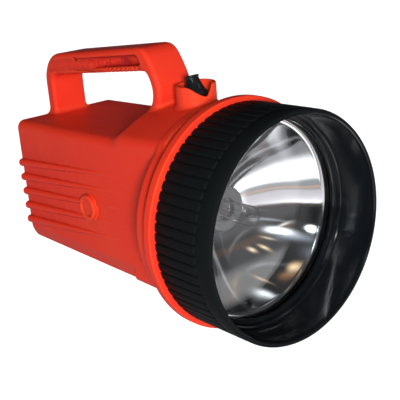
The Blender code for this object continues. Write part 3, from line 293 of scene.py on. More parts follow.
# Side view of the handle: front post bowed forward, a straight grip and an upright rear post
post_face = soft_line([(93.5, 44.0), (90.8, 53.0), (88.3, 58.5), (88.0, 65.0), (90.4, 71.5), (94.2, 78.2),
                       (97.6, 82.7), (101.5, 85.2), (106.0, 85.7)])
rear_corner = arc_mm((186.4, 58.9), 18.8, 84.4, 0, 14)
opening = [(196.7, 30.0)] + arc_mm((190.7, 58.4), 6.0, 0, 84.4, 6)
opening += soft_line([(104.5, 72.5), (100.6, 72.6), (98.3, 71.2), (96.6, 68.6), (95.1, 64.4), (95.1, 59.5),
                      (97.4, 53.0), (100.5, 44.0)])
side_view = post_face + rear_corner + [(205.2, 30.0)] + opening + [(100.5, 30.0), (93.5, 30.0)]

TABLE_STEP = 0.25
table_y = np.arange(82.0, 212.0, TABLE_STEP)
table_z = np.arange(24.0, 94.0, TABLE_STEP)


def outline_distance(outline, y, z):
    """Distance to a closed outline, negative inside."""
    nearest = np.full(np.broadcast(y, z).shape, 1e9)
    inside = np.zeros(nearest.shape, bool)
    for (y0, z0), (y1, z1) in zip(outline, outline[1:] + outline[:1]):
        dy, dz = y1 - y0, z1 - z0
        length = dy * dy + dz * dz
        if length < 1e-9:
            continue
        t = np.clip(((y - y0) * dy + (z - z0) * dz) / length, 0.0, 1.0)
        nearest = np.minimum(nearest, (y - y0 - t * dy) ** 2 + (z - z0 - t * dz) ** 2)
        if z0 != z1:
            inside ^= ((z0 > z) != (z1 > z)) & (y < dy * (z - z0) / (z1 - z0) + y0)
    return np.where(inside, -1.0, 1.0) * np.sqrt(nearest)


handle_table = outline_distance(side_view, table_y[:, None], table_z[None, :])


def handle_distance(y, z):
    """The side view's distance, read between the points of its table."""
    u = np.clip((y - table_y[0]) / TABLE_STEP, 0, len(table_y) - 1.001)
    v = np.clip((z - table_z[0]) / TABLE_STEP, 0, len(table_z) - 1.001)
    i, j = u.astype(int), v.astype(int)
    i, j, u, v = np.broadcast_arrays(i, j, u - i, v - j)
    low = handle_table[i, j] * (1 - u) + handle_table[i + 1, j] * u
    high = handle_table[i, j + 1] * (1 - u) + handle_table[i + 1, j + 1] * u
    return low * (1 - v) + high * v


def guard_rim(degrees):
    """Height of the switch guard: lowest at the front left, highest on the right."""
    left = 61.3 + 5.4 * ramp_between(-degrees, 8, 74)
    right = 61.3 + 6.2 * ramp_between(degrees, -8, 24)
    behind = 67.5 - 0.8 * ramp_between(degrees, 120, 170)
    return np.where(degrees < -8, left, np.where(degrees < 120, right, behind))


def box_section(across, y, z):
    """The box's rounded section, which narrows towards the rear, and its half width there."""
    share = (y - BOX_FRONT_Y) / (BOX_REAR_Y - BOX_FRONT_Y)
    half = BOX_HALF_MM - 0.9 * share
    top = 41.3 - 2.5 * share
    low = -41.1 + 2.8 * share
    corner = np.where(z > 0, 5.0, 4.5)
    a = across - half + corner
    b = np.abs(z - (top + low) / 2) - (top - low) / 2 + corner
    section = np.minimum(np.maximum(a, b), 0.0) + np.hypot(np.maximum(a, 0.0), np.maximum(b, 0.0)) - corner
    return section, half


def with_side_ribs(box, out, y, z):
    """The box with tapered ribs along each side, which grow and fall towards the rear."""
    run = (y - RIB_START_Y) / RIB_RUN_MM
    for index in range(RIB_COUNT):
        rib_top = RIB_TOP_MM - index * RIB_PITCH_MM - RIB_FALL_MM * run
        crest = out + 0.4 - 3.4 * run
        upper = z - rib_top
        lower = rib_top - 1.0 - 4.3 * run - z + 0.15 * out
        rounding = 0.3 + 2.0 * np.clip(run, 0.0, 1.0)
        rib = meet(meet(crest, upper, rounding), lower, rounding)
        box = melt(box, np.maximum(meet(rib, y - 204.2, 1.6), 86.0 - y), 0.4)
    return box


def round_boss(across, half, y, z):
    """Dished disc on the middle of each side."""
    from_boss = np.hypot(y - BOSS_Y, z - BOSS_Z)
    boss = meet(from_boss - BOSS_RADIUS_MM, across - half - BOSS_HEIGHT_MM, 1.1)
    return carve(boss, np.maximum(from_boss - 5.2, half + 2.0 - across), 0.6)


def cowl_hood(out, reach, y, z):
    """The cone over the box's front top, from the flange back to a rounded rear edge."""
    cone = (reach - NECK_RADIUS_MM + 3.5 * (y - NECK_REAR_Y) / 38.0) * 0.996
    cowl = meet(meet(cone, (y - 99.0 + 0.5 * (reach - 53.5)) / 1.118, 3.0), out + 0.3, 2.0)
    return np.maximum(np.maximum(cowl, 55.0 - y), 28.0 - z)


def carrying_handle(across, y, z):
    """Handle with its shallow cheeks, the recess under the grip, the grip's teeth and the strap hole."""
    below = z - GRIP_TOP_Z + GRIP_FALL * (y - GRIP_START_Y)
    handle = meet(handle_distance(y, z), across - GRIP_HALF_MM, 2.6)
    cheek = np.maximum(meet(meet(below + 4.2, 102.5 - y, 6.0), y - 186.0, 3.0), 69.0 - z)
    cheek_floor = GRIP_HALF_MM - 1.4 * ramp_between(-y, -188.0, -150.0)
    handle = carve(handle, np.maximum(cheek, cheek_floor - across), 0.4)
    pocket_depth = POCKET_DEPTH_MM * ramp_between(-y, -166.0, -126.0)
    pocket = meet(meet(below + 4.2, -10.2 - below, 1.4), 104.0 - y, 4.0)
    pocket = np.maximum(pocket, GRIP_HALF_MM - pocket_depth - across)
    handle = carve(handle, pocket, 1.4)
    teeth = ramp_between(y, 102, 106) * ramp_between(-y, -142, -136) * ramp_between(-below, 10.6, 11.6)
    teeth = teeth * ramp_between(across, 8.0, 9.5) * ramp_between(below, -17.5, -15.4)
    handle = handle + 0.7 * teeth * (1 + np.sin((y + 0.9 * z) * 2 * math.pi / TOOTH_PITCH_MM)) / 2
    strap_hole = np.hypot(y - STRAP_HOLE_Y, z - STRAP_HOLE_Z) - STRAP_HOLE_RADIUS_MM
    return carve(handle, strap_hole, 0.5)


def switch_guard(x, from_switch, y, z):
    """Cup around the switch, with its uneven rim and a solid floor."""
    degrees = np.degrees(np.arctan2(x, SWITCH_Y - y))
    guard = meet(np.abs(from_switch - GUARD_RADIUS_MM) - 0.8, z - guard_rim(degrees), 0.75)
    guard = np.maximum(guard, GUARD_FOOT_Z - z)
    floor_disc = np.maximum(np.maximum(from_switch - 10.4, z - 56.5), GUARD_FOOT_Z - z)
    return np.minimum(guard, floor_disc)


def hollow_inside(section, lower_panel, across, reach, from_switch, y, z):
    """Space for the reflector, the contact plate, the battery and the switch."""
    hollow = np.maximum(np.maximum(reach - 51.0, y - 45.0), 30.0 - y)
    hollow = np.minimum(hollow, np.maximum(np.maximum(reach - 54.5, y - 58.5), 44.2 - y))
    compartment = np.maximum(np.maximum(section + WALL_MM, y - BOX_REAR_Y + WALL_MM), 54.0 - y)
    hollow = np.minimum(hollow, np.maximum(compartment, lower_panel + 2.2))
    switch_room = np.maximum(np.maximum(across - 11.5, np.abs(y - 70.55) - 13.2),
                             np.maximum(29.0 - z, z - 52.5))
    hollow = np.minimum(hollow, switch_room)
    return np.minimum(hollow, np.maximum(np.maximum(from_switch - 6.2, GUARD_FOOT_Z - z), z - 58.0))


def housing_field(x, y, z):
    """Distance to the housing's surface in mm, negative in the plastic."""
    across = np.abs(x)
    reach = np.hypot(x, z)
    from_switch = np.hypot(x, y - SWITCH_Y)
    section, half = box_section(across, y, z)
    out = across - half
    box = np.maximum(meet(section, y - BOX_REAR_Y, 2.5), 45.0 - y)
    lower_panel = (out - 0.42 * (z + 30.0)) / 1.085 - 8.0 * ramp_between(-y - 0.25 * z, -84.5, -80.5)
    box = with_side_ribs(meet(box, lower_panel, 0.4), out, y, z)
    box = melt(box, round_boss(across, half, y, z), 0.8)
    body = melt(box, cowl_hood(out, reach, y, z), 0.5 + 8.5 * ramp_between(z, 35.0, 44.0))
    neck = np.maximum(meet(reach - NECK_RADIUS_MM, y - NECK_REAR_Y, 4.0), 43.0 - y)
    flange = meet(meet(reach - FLANGE_RADIUS_MM, y - FLANGE_REAR_Y, 2.2), FLANGE_FRONT_Y - y, 0.6)
    body = melt(melt(body, neck, 2.4), flange, 2.6)
    body = melt(body, carrying_handle(across, y, z), 4.5)
    body = melt(body, switch_guard(x, from_switch, y, z), 2.6)
    body = carve(body, hollow_inside(section, lower_panel, across, reach, from_switch, y, z), 0.6)
    rail = np.maximum(np.maximum(np.abs(across - 20.0) - 1.0, 33.55 - np.abs(z)), np.abs(z) - 37.5)
    return np.minimum(body, np.maximum(rail, np.maximum(103.4 - y, y - 204.0)))


def field_slope(field, points):
    """Slope of the field at points, by small steps each way."""
    step = 0.04
    slope = np.empty_like(points)
    for axis in range(3):
        ahead, behind = points.copy(), points.copy()
        ahead[:, axis] += step
        behind[:, axis] -= step
        slope[:, axis] = (field(*ahead.T) - field(*behind.T)) / (2 * step)
    return slope


def skin(field, low, high, step):
    """Points and four-sided faces on the surface where the field is zero."""
    axes = [np.arange(a, b, step, dtype=np.float32) for a, b in zip(low, high)]
    value = np.concatenate([field(part[:, None, None], axes[1][None, :, None], axes[2][None, None, :])
                            .astype(np.float32) for part in np.array_split(axes[0], 12)])
    inside = value < 0
    # One point in each cell that the surface crosses, at the mean of where it cuts the cell's edges
    n = tuple(s - 1 for s in value.shape)
    shifts = [(i, j, k) for i in (0, 1) for j in (0, 1) for k in (0, 1)]
    count = sum(inside[i:i + n[0], j:j + n[1], k:k + n[2]].astype(np.int8) for i, j, k in shifts)
    cells = np.argwhere((count > 0) & (count < 8))
    number = np.full(n, -1, np.int64)
    number[tuple(cells.T)] = np.arange(len(cells))
    corner = {s: value[cells[:, 0] + s[0], cells[:, 1] + s[1], cells[:, 2] + s[2]] for s in shifts}
    total, hits = np.zeros((len(cells), 3)), np.zeros(len(cells))
    for one in shifts:
        for axis in range(3):
            if one[axis]:
                continue
            two = tuple(1 if a == axis else s for a, s in enumerate(one))
            f0, f1 = corner[one], corner[two]
            cross = (f0 < 0) != (f1 < 0)
            t = f0[cross] / (f0[cross] - f1[cross])
            place = np.tile(np.array(one, float), (len(t), 1))
            place[:, axis] = t
            total[cross] += place
            hits[cross] += 1
    points = (cells + total / hits[:, None]) * step + np.array(low)
    # One face across each grid edge whose ends lie on different sides
    faces = []
    for axis in range(3):
        other, third = (axis + 1) % 3, (axis + 2) % 3
        first = [slice(None)] * 3
        second = [slice(None)] * 3
        first[axis], second[axis] = slice(0, -1), slice(1, None)
        change = inside[tuple(first)] != inside[tuple(second)]
        at = np.argwhere(change)
        at = at[(at[:, other] > 0) & (at[:, third] > 0) & (at[:, other] < n[other]) & (at[:, third] < n[third])]
        ring = []
        for da, db in ((1, 1), (0, 1), (0, 0), (1, 0)):
            c = at.copy()
            c[:, other] -= da
            c[:, third] -= db
            ring.append(number[tuple(c.T)])
        quad = np.stack(ring, 1)
        outward = inside[tuple(at.T)]
        quad[outward] = quad[outward][:, ::-1]
        faces.append(quad)
    faces = np.concatenate(faces)
    # Two small moves along the slope bring the points onto the surface
    for _ in range(2):
        slope = field_slope(field, points)
        move = field(*points.T)[:, None] * slope / np.maximum((slope ** 2).sum(1), 0.1)[:, None]
        points = points - np.clip(move, -0.35 * step, 0.35 * step)
    return points, faces


def link(name, mesh):
    """Put a mesh into the scene, its place already in its points."""
    made = bpy.data.objects.new(name, mesh)
    bpy.context.scene.collection.objects.link(made)
    return made


SKIN_STEP, SKIN_TRIANGLES = 0.72, 180000
FIELD_LOW, FIELD_HIGH = (-64.5, 39.5, -64.5), (64.5, 207.0, 88.5)
TUCK_REACH_MM, EDGE_REACH_MM = 2.6, 0.9
GUARD_TUCK_Z, BODY_TUCK = 66.0, 0.42
points, faces = skin(housing_field, FIELD_LOW, FIELD_HIGH, SKIN_STEP)
raw = bpy.data.meshes.new("housing_raw")
raw.from_pydata(points.tolist(), [], faces[:, ::-1].tolist())
raw_object = link("housing_raw", raw)
thin_out = raw_object.modifiers.new("thin_out", "DECIMATE")
thin_out.ratio = min(1.0, SKIN_TRIANGLES / (2 * len(faces)))
housing_mesh = bpy.data.meshes.new_from_object(raw_object.evaluated_get(bpy.context.evaluated_depsgraph_get()))
bpy.data.objects.remove(raw_object)
housing_mesh.name = "housing_shell"
# Painted shade and painted highlight: how tucked in and how exposed each point is,
# from the plastic a little way outside and inside of it
where = np.empty(len(housing_mesh.vertices) * 3)
housing_mesh.vertices.foreach_get("co", where)
where = where.reshape(-1, 3)
outward = field_slope(housing_field, where)
outward /= np.maximum(np.linalg.norm(outward, axis=1), 1e-6)[:, None]
world_normal = outward @ np.array(STANDING.to_3x3()).T
outside = housing_field(*(where + TUCK_REACH_MM * outward).T)
within = housing_field(*(where - EDGE_REACH_MM * outward).T)
# Painted shade: how far each point is tucked in, at full strength above GUARD_TUCK_Z and weaker below it
painted_shade = 1.0 - np.clip(outside / TUCK_REACH_MM, 0.0, 1.0)
painted_shade *= np.where(where[:, 2] > GUARD_TUCK_Z, 1.0, BODY_TUCK)
# Painted highlight: how near each point lies to a thin outer edge
edge_highlight = 1.0 - np.clip(-within / EDGE_REACH_MM, 0.0, 1.0)
housing_mesh.transform(STANDING @ Matrix.Scale(MM, 4))
housing_mesh.shade_smooth()
housing_mesh.normals_split_custom_set_from_vertices(world_normal.tolist())
for label, amount in (("painted_shade", painted_shade), ("edge_highlight", edge_highlight)):
    housing_mesh.attributes.new(label, "FLOAT", "POINT").data.foreach_set("value", amount.astype(np.float32))
housing = link("housing_shell", housing_mesh)
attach(housing, "body")
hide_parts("housing")


def new_group(name, inputs, outputs):
    """Shader node group with named sockets."""
    group = bpy.data.node_groups.new(name, "ShaderNodeTree")
    for label, kind, value in inputs:
        socket = group.interface.new_socket(label, in_out="INPUT", socket_type=kind)
        socket.default_value = value
    for label, kind in outputs:
        group.interface.new_socket(label, in_out="OUTPUT", socket_type=kind)
    return group, group.nodes.new("NodeGroupInput"), group.nodes.new("NodeGroupOutput")


def noise_node(tree, vector, scale, detail, stretch=None):
    """Noise on the given coordinates, stretched if asked."""
    if stretch:
        mapping = tree.nodes.new("ShaderNodeMapping")
        mapping.inputs["Scale"].default_value = stretch
        tree.links.new(vector, mapping.inputs["Vector"])
        vector = mapping.outputs["Vector"]
    node = tree.nodes.new("ShaderNodeTexNoise")
    node.inputs["Detail"].default_value = detail
    tree.links.new(vector, node.inputs["Vector"])
    if isinstance(scale, bpy.types.NodeSocket):
        tree.links.new(scale, node.inputs["Scale"])
    else:
        node.inputs["Scale"].default_value = scale
    return node.outputs["Fac"]


# The skin of a moulded or rolled surface: slow drift of shade, fine grain, and short scuffs that dull the gloss
skin_group, skin_in, skin_out = new_group(
    "moulded_skin",
    [("Colour", "NodeSocketColor", (0.5, 0.5, 0.5, 1.0)),
     ("Second Colour", "NodeSocketColor", (0.4, 0.4, 0.4, 1.0)),
     ("Gloss", "NodeSocketFloat", 0.35), ("Gloss Spread", "NodeSocketFloat", 0.1),
     ("Grain Scale", "NodeSocketFloat", 2500.0), ("Scuffs", "NodeSocketFloat", 0.3)],
    [("Colour", "NodeSocketColor"), ("Roughness", "NodeSocketFloat"), ("Height", "NodeSocketFloat")])
coordinates = skin_group.nodes.new("ShaderNodeTexCoord").outputs["Object"]
drift = noise_node(skin_group, coordinates, 22.0, 3.0)
grain = noise_node(skin_group, coordinates, skin_in.outputs["Grain Scale"], 2.0)
scuff_field = noise_node(skin_group, coordinates, 160.0, 4.0, (1.0, 0.25, 2.0))
scuff_mask = skin_group.nodes.new("ShaderNodeMapRange")
scuff_mask.inputs["From Min"].default_value = 0.60
scuff_mask.inputs["From Max"].default_value = 0.74
skin_group.links.new(scuff_field, scuff_mask.inputs["Value"])
scuffs = math_node(skin_group, "MULTIPLY", scuff_mask.outputs["Result"], skin_in.outputs["Scuffs"])
shade = skin_group.nodes.new("ShaderNodeMix")
shade.data_type = "RGBA"
skin_group.links.new(math_node(skin_group, "MULTIPLY_ADD", drift, 1.0, True), shade.inputs[0])
skin_group.links.new(skin_in.outputs["Colour"], shade.inputs[6])
skin_group.links.new(skin_in.outputs["Second Colour"], shade.inputs[7])
skin_group.links.new(shade.outputs[2], skin_out.inputs["Colour"])
spread = math_node(skin_group, "MULTIPLY", math_node(skin_group, "SUBTRACT", drift, 0.5),
                   skin_in.outputs["Gloss Spread"])
gloss = math_node(skin_group, "ADD", skin_in.outputs["Gloss"], spread)
dulled = math_node(skin_group, "ADD", gloss, math_node(skin_group, "MULTIPLY", scuffs, 0.35), True)
skin_group.links.new(dulled, skin_out.inputs["Roughness"])
skin_group.links.new(math_node(skin_group, "SUBTRACT", grain, math_node(skin_group, "MULTIPLY", scuffs, 0.4)),
                     skin_out.inputs["Height"])


def finish(name, colour, second, gloss, grain_scale=2500.0, bump=0.03, scuffs=0.3, metallic=0.0, spread=0.1,
           specular=0.5):
    """Material with the shared skin; the constant values sit on the shader itself."""
    made = bpy.data.materials.new(name)
    made.use_nodes = True
    tree = made.node_tree
    shader = tree.nodes["Principled BSDF"]
    shader.inputs["Metallic"].default_value = metallic
    shader.inputs["Specular IOR Level"].default_value = specular
    surface = tree.nodes.new("ShaderNodeGroup")
    surface.node_tree = skin_group
    surface.inputs["Colour"].default_value = (*colour, 1.0)
    surface.inputs["Second Colour"].default_value = (*second, 1.0)
    surface.inputs["Gloss"].default_value = gloss
    surface.inputs["Gloss Spread"].default_value = spread
    surface.inputs["Grain Scale"].default_value = grain_scale
    surface.inputs["Scuffs"].default_value = scuffs
    relief = tree.nodes.new("ShaderNodeBump")
    relief.inputs["Strength"].default_value = bump
    relief.inputs["Distance"].default_value = 0.0004
    tree.links.new(surface.outputs["Colour"], shader.inputs["Base Color"])
    tree.links.new(surface.outputs["Roughness"], shader.inputs["Roughness"])
    tree.links.new(surface.outputs["Height"], relief.inputs["Height"])
    tree.links.new(relief.outputs["Normal"], shader.inputs["Normal"])
    return made


orange = finish("orange_moulding", (0.83, 0.086, 0.015), (0.79, 0.038, 0.017), 0.42, 1500.0, 0.05, 0.25,
                specular=0.28)
# The shell's own copy has painted shade, a deeper colour where it is tucked in, and a painted highlight,
# a paler colour along its edges
shell_orange = orange.copy()
shell_orange.name = "orange_shell"
shell_tree = shell_orange.node_tree
shell_shader = shell_tree.nodes["Principled BSDF"]
shell_colour = shell_shader.inputs["Base Color"].links[0].from_socket
# Painted shade mixes in a deep red, and the painted highlight mixes in a paler orange
for label, tint, strength in (("painted_shade", (0.30, 0.007, 0.006, 1.0), 1.15),
                              ("edge_highlight", (0.95, 0.16, 0.040, 1.0), 0.35)):
    amount = shell_tree.nodes.new("ShaderNodeAttribute")
    amount.attribute_name = label
    share = shell_tree.nodes.new("ShaderNodeMix")
    share.data_type = "RGBA"
    shell_tree.links.new(math_node(shell_tree, "MULTIPLY", amount.outputs["Fac"], strength, True), share.inputs[0])
    shell_tree.links.new(shell_colour, share.inputs[6])
    share.inputs[7].default_value = tint
    shell_colour = share.outputs[2]
shell_tree.links.new(shell_colour, shell_shader.inputs["Base Color"])
housing.data.materials.clear()
housing.data.materials.append(shell_orange)

# ---- Threaded collar ----------------------------------------------------------------------------------------
# The front rim of the housing, turned true after moulding, with one ridge of coarse thread for the lens ring.
COLLAR_OUTER_MM, COLLAR_INNER_MM = 53.4, 51.0
COLLAR_FRONT_Y, COLLAR_REAR_Y = 32.5, 41.3
ROUND_STEPS = 160


def lathe(outline_mm, steps):
    """Closed outline of (radius, y) spun about the beam axis, in the lantern's frame."""
    shape = bmesh.new()
    ring = [shape.verts.new((r, y, 0.0)) for r, y in outline_mm]
    edges = [shape.edges.new((a, b)) for a, b in zip(ring, ring[1:] + ring[:1])]
    bmesh.ops.spin(shape, geom=ring + edges, cent=(0, 0, 0), axis=(0, 1, 0), angle=2 * math.pi, steps=steps,
                   use_merge=True, use_duplicate=False)
    bmesh.ops.remove_doubles(shape, verts=shape.verts, dist=1e-4)
    bmesh.ops.dissolve_degenerate(shape, edges=shape.edges, dist=1e-5)
    bmesh.ops.recalc_face_normals(shape, faces=shape.faces)
    return shape


def set_down(name, shape, material, body, sharp=35.0, nodes=()):
    """Stand a shape made in mm in its place and let it ride on its body."""
    mesh = bpy.data.meshes.new(name)
    bmesh.ops.transform(shape, matrix=STANDING @ Matrix.Scale(MM, 4), verts=shape.verts)
    shape.to_mesh(mesh)
    shape.free()
    mesh.shade_smooth()
    mesh.set_sharp_from_angle(angle=math.radians(sharp))
    for part in material if isinstance(material, (list, tuple)) else [material]:
        mesh.materials.append(part)
    made = link(name, mesh)
    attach(made, body)
    if nodes:
        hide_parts(*nodes)
    return made


collar = lathe([(COLLAR_INNER_MM, COLLAR_FRONT_Y), (COLLAR_OUTER_MM - 0.4, COLLAR_FRONT_Y),
                (COLLAR_OUTER_MM, COLLAR_FRONT_Y + 0.4), (COLLAR_OUTER_MM, COLLAR_REAR_Y),
                (COLLAR_INNER_MM, COLLAR_REAR_Y)], ROUND_STEPS)
thread_section = [(-0.5, -0.75), (-0.5, 0.75), (0.7, 0.6), (1.1, 0.3), (1.1, -0.3), (0.7, -0.6)]
THREAD_STEPS, THREAD_TURNS, THREAD_PITCH_MM, THREAD_MIDDLE_Y, RUN_OUT_STEPS = 200, 1.2, 4.0, 35.95, 12
loops = []
for step in range(THREAD_STEPS + 1):
    turn = 2 * math.pi * THREAD_TURNS * (step / THREAD_STEPS - 0.5)
    run_out = min(1.0, step / RUN_OUT_STEPS, (THREAD_STEPS - step) / RUN_OUT_STEPS)
    middle_y = THREAD_MIDDLE_Y - THREAD_PITCH_MM * turn / (2 * math.pi)
    loop = []
    for rise, along_axis in thread_section:
        radius = COLLAR_OUTER_MM + (rise if rise < 0 else rise * run_out)
        loop.append(collar.verts.new((radius * math.cos(turn), middle_y + along_axis, radius * math.sin(turn))))
    loops.append(loop)
sides = len(thread_section)
thread_faces = [collar.faces.new((one[i], one[(i + 1) % sides], two[(i + 1) % sides], two[i]))
                for one, two in zip(loops, loops[1:]) for i in range(sides)]
thread_faces += [collar.faces.new(loops[0]), collar.faces.new(loops[-1])]
bmesh.ops.recalc_face_normals(collar, faces=thread_faces)
housing_collar = set_down("housing_collar", collar, orange, "body")

rubber = finish("black_rubber", (0.012, 0.012, 0.014), (0.020, 0.020, 0.022), 0.55, 1800.0, 0.08, 0.2)


def dress(material, *nodes):
    """Give CAD nodes that stay a finished material."""
    for node in nodes:
        mesh = frame["nodes"][node].data
        mesh.materials.clear()
        mesh.materials.append(material)


dress(rubber, "collar_oring")

# ---- Battery, springs and foam pad --------------------------------------------------------------------------
# A square 6 V lantern battery with a printed card jacket, a black moulded cap and two conical springs on top.
jacket = finish("battery_jacket", (0.035, 0.085, 0.22), (0.028, 0.070, 0.19), 0.38, 900.0, 0.03, 0.3)
cap_plastic = finish("battery_cap_plastic", (0.016, 0.016, 0.018), (0.024, 0.024, 0.026), 0.42, 1600.0, 0.06)
spring_steel = finish("plated_steel", (0.60, 0.60, 0.61), (0.52, 0.52, 0.54), 0.26, 3000.0, 0.02, 0.3, 1.0)
pad_foam = finish("grey_foam", (0.16, 0.16, 0.17), (0.10, 0.10, 0.11), 0.95, 1100.0, 0.8, 0.0)
dress(jacket, "battery_case")
dress(cap_plastic, "battery_cap", "switch_body")
dress(spring_steel, "battery_spring_positive", "battery_spring_negative", "socket_spring", "switch_bushing",
      "toggle_lever")
dress(pad_foam, "battery_pad")

# ---- Contact plate, strips and rivets -----------------------------------------------------------------------
# A pressed fibre board behind the lamp, with two brass strips held by turned-over rivets.
fibre = finish("fibre_board", (0.085, 0.055, 0.040), (0.060, 0.040, 0.030), 0.75, 700.0, 0.3, 0.1)
brass = finish("rolled_brass", (0.75, 0.54, 0.24), (0.64, 0.44, 0.18), 0.28, 2600.0, 0.03, 0.4, 1.0)
dress(fibre, "contact_plate")
dress(brass, "contact_positive", "contact_negative", "socket_sleeve", "switch_terminal_1",
      "switch_terminal_2", *[f"rivet_{number}" for number in (1, 2, 3, 4)])

# ---- Leads --------------------------------------------------------------------------------------------------
# Two short insulated wires from the switch, one to the lamp socket and one to the contact plate.
dress(finish("red_insulation", (0.45, 0.012, 0.012), (0.36, 0.010, 0.010), 0.40, 1500.0, 0.03), "lead_lamp")
dress(finish("black_insulation", (0.015, 0.015, 0.016), (0.024, 0.024, 0.025), 0.42, 1500.0, 0.03),
      "lead_battery")

# ---- Reflector ----------------------------------------------------------------------------------------------
# A deep paraboloid spun from thin sheet and silvered inside. Spinning leaves faint rings and slow waves in it.
RIM_RADIUS_MM, SOCKET_CLEAR_MM, APEX_Y, RIM_REAR_Y, SLEEVE_REAR_Y = 50.0, 12.5, 56.0, 32.2, 61.0
RETAINER_RADIUS_MM, SHEET_MM, FLANGE_OUTER_MM = 12.2, 0.8, 53.0
focal = (RIM_RADIUS_MM ** 2 - RETAINER_RADIUS_MM ** 2) / (APEX_Y - RIM_REAR_Y) / 4
vertex_y = APEX_Y + RETAINER_RADIUS_MM ** 2 / (4 * focal)
bowl = [(r, vertex_y - r * r / (4 * focal)) for r in np.linspace(RIM_RADIUS_MM, SOCKET_CLEAR_MM, 56)]
back_of_bowl = [(r + SHEET_MM, y + 0.6) for r, y in reversed(bowl)]
reflector_outline = bowl + [(SOCKET_CLEAR_MM, SLEEVE_REAR_Y), (SOCKET_CLEAR_MM + SHEET_MM, SLEEVE_REAR_Y)]
reflector_outline += back_of_bowl + [(50.9, RIM_REAR_Y), (FLANGE_OUTER_MM, RIM_REAR_Y), (FLANGE_OUTER_MM, 31.0),
                                     (FLANGE_OUTER_MM - 0.4, 31.0), (50.6, 31.5)]
mirror = bpy.data.materials.new("silvered_mirror")
mirror.use_nodes = True
mirror_tree = mirror.node_tree
mirror_shader = mirror_tree.nodes["Principled BSDF"]
mirror_shader.inputs["Metallic"].default_value = 1.0
mirror_spot = mirror_tree.nodes.new("ShaderNodeTexCoord").outputs["Object"]
slow_wave = noise_node(mirror_tree, mirror_spot, 26.0, 1.0, (1.0, 1.0, 1.6))
haze = noise_node(mirror_tree, mirror_spot, 90.0, 3.0)
mirror_tint = mirror_tree.nodes.new("ShaderNodeValToRGB")
mirror_tint.color_ramp.elements[0].color = (0.80, 0.82, 0.85, 1.0)
mirror_tint.color_ramp.elements[1].color = (0.95, 0.95, 0.96, 1.0)
mirror_tree.links.new(haze, mirror_tint.inputs["Fac"])
mirror_tree.links.new(mirror_tint.outputs["Color"], mirror_shader.inputs["Base Color"])
mirror_tree.links.new(math_node(mirror_tree, "MULTIPLY", haze, 0.12), mirror_shader.inputs["Roughness"])
mirror_bump = mirror_tree.nodes.new("ShaderNodeBump")
mirror_bump.inputs["Strength"].default_value = 0.30
mirror_bump.inputs["Distance"].default_value = 0.0012
mirror_tree.links.new(slow_wave, mirror_bump.inputs["Height"])
mirror_tree.links.new(mirror_bump.outputs["Normal"], mirror_shader.inputs["Normal"])
set_down("reflector_bowl", lathe(reflector_outline, ROUND_STEPS), mirror, "body", 50, ["reflector"])

# ---- Lamp socket, retainer and bulb -------------------------------------------------------------------------
# A pale moulded socket behind a snap-in retainer disc, and a flanged bulb with a long clear envelope.
pale = finish("pale_plastic", (0.86, 0.89, 0.88), (0.76, 0.79, 0.78), 0.45, 1400.0, 0.05, 0.2)
dress(pale, "bulb_socket")
dress(finish("nickel_plate", (0.50, 0.51, 0.51), (0.42, 0.43, 0.43), 0.38, 2500.0, 0.02, 0.2, 1.0), "bulb_base")
retainer = lathe([(6.1, 55.9), (6.5, 55.2), (9.6, 55.0), (10.2, 55.4), (11.8, 55.5), (RETAINER_RADIUS_MM, 55.9),
                  (RETAINER_RADIUS_MM, 57.0), (6.1, 57.0)], 96)
set_down("retainer_disc", retainer, pale, "body", 30, ["bulb_retainer"])


def clear_material(name, tint, roughness, index):
    """Clear glass or plastic with faint smears in its polish."""
    made = bpy.data.materials.new(name)
    made.use_nodes = True
    tree = made.node_tree
    shader = tree.nodes["Principled BSDF"]
    shader.inputs["Transmission Weight"].default_value = 1.0
    shader.inputs["IOR"].default_value = index
    spot = tree.nodes.new("ShaderNodeTexCoord").outputs["Object"]
    smear = noise_node(tree, spot, 40.0, 3.0, (1.0, 1.0, 0.4))
    ramp = tree.nodes.new("ShaderNodeValToRGB")
    ramp.color_ramp.elements[0].color = (*tint, 1.0)
    ramp.color_ramp.elements[1].color = (1.0, 1.0, 1.0, 1.0)
    tree.links.new(smear, ramp.inputs["Fac"])
    tree.links.new(ramp.outputs["Color"], shader.inputs["Base Color"])
    tree.links.new(math_node(tree, "MULTIPLY", smear, roughness), shader.inputs["Roughness"])
    return made


BULB_RADIUS_MM, BULB_BORE_MM, BULB_DOME_Y = 5.5, 4.9, 37.5


def bulb_dome(radius, start, stop):
    """Quarter round of the bulb's tip, between two angles in degrees."""
    return [(radius * math.cos(t), BULB_DOME_Y - radius * math.sin(t))
            for t in np.radians(np.linspace(start, stop, 16))]


bulb_outside, bulb_inside = bulb_dome(BULB_RADIUS_MM, 90, 0), bulb_dome(BULB_BORE_MM, 0, 90)
bulb_waist = [(BULB_RADIUS_MM, 43.5), (5.3, 47.0), (4.85, 52.0), (4.73, 57.0), (4.13, 57.0), (4.25, 52.0),
              (4.7, 47.0), (BULB_BORE_MM, 43.5)]
bulb_glass = lathe([(max(r, 0.0), y) for r, y in bulb_outside + bulb_waist + bulb_inside], 64)
set_down("bulb_envelope", bulb_glass, clear_material("bulb_glass_clear", (0.97, 0.98, 0.99), 0.03, 1.46),
         "body", 60, ["bulb_glass"])
dress(finish("tungsten", (0.36, 0.35, 0.34), (0.30, 0.29, 0.28), 0.30, 4000.0, 0.02, 0.2, 1.0), "bulb_filament")

# ---- Lens ---------------------------------------------------------------------------------------------------
# A flat clear disc pressed against its gasket by the ring. It moves out with the ring and doesn't turn with it.
LENS_RADIUS_MM, LENS_FRONT_Y, LENS_REAR_Y = 54.3, 26.9, 29.3
lens_outline = [(0, LENS_FRONT_Y), (LENS_RADIUS_MM - 0.4, LENS_FRONT_Y), (LENS_RADIUS_MM, LENS_FRONT_Y + 0.4),
                (LENS_RADIUS_MM, LENS_REAR_Y), (0, LENS_REAR_Y)]
set_down("lens_disc", lathe(lens_outline, ROUND_STEPS),
         clear_material("lens_clear", (0.96, 0.975, 0.985), 0.03, 1.49), "lens_carrier", 30, ["lens"])

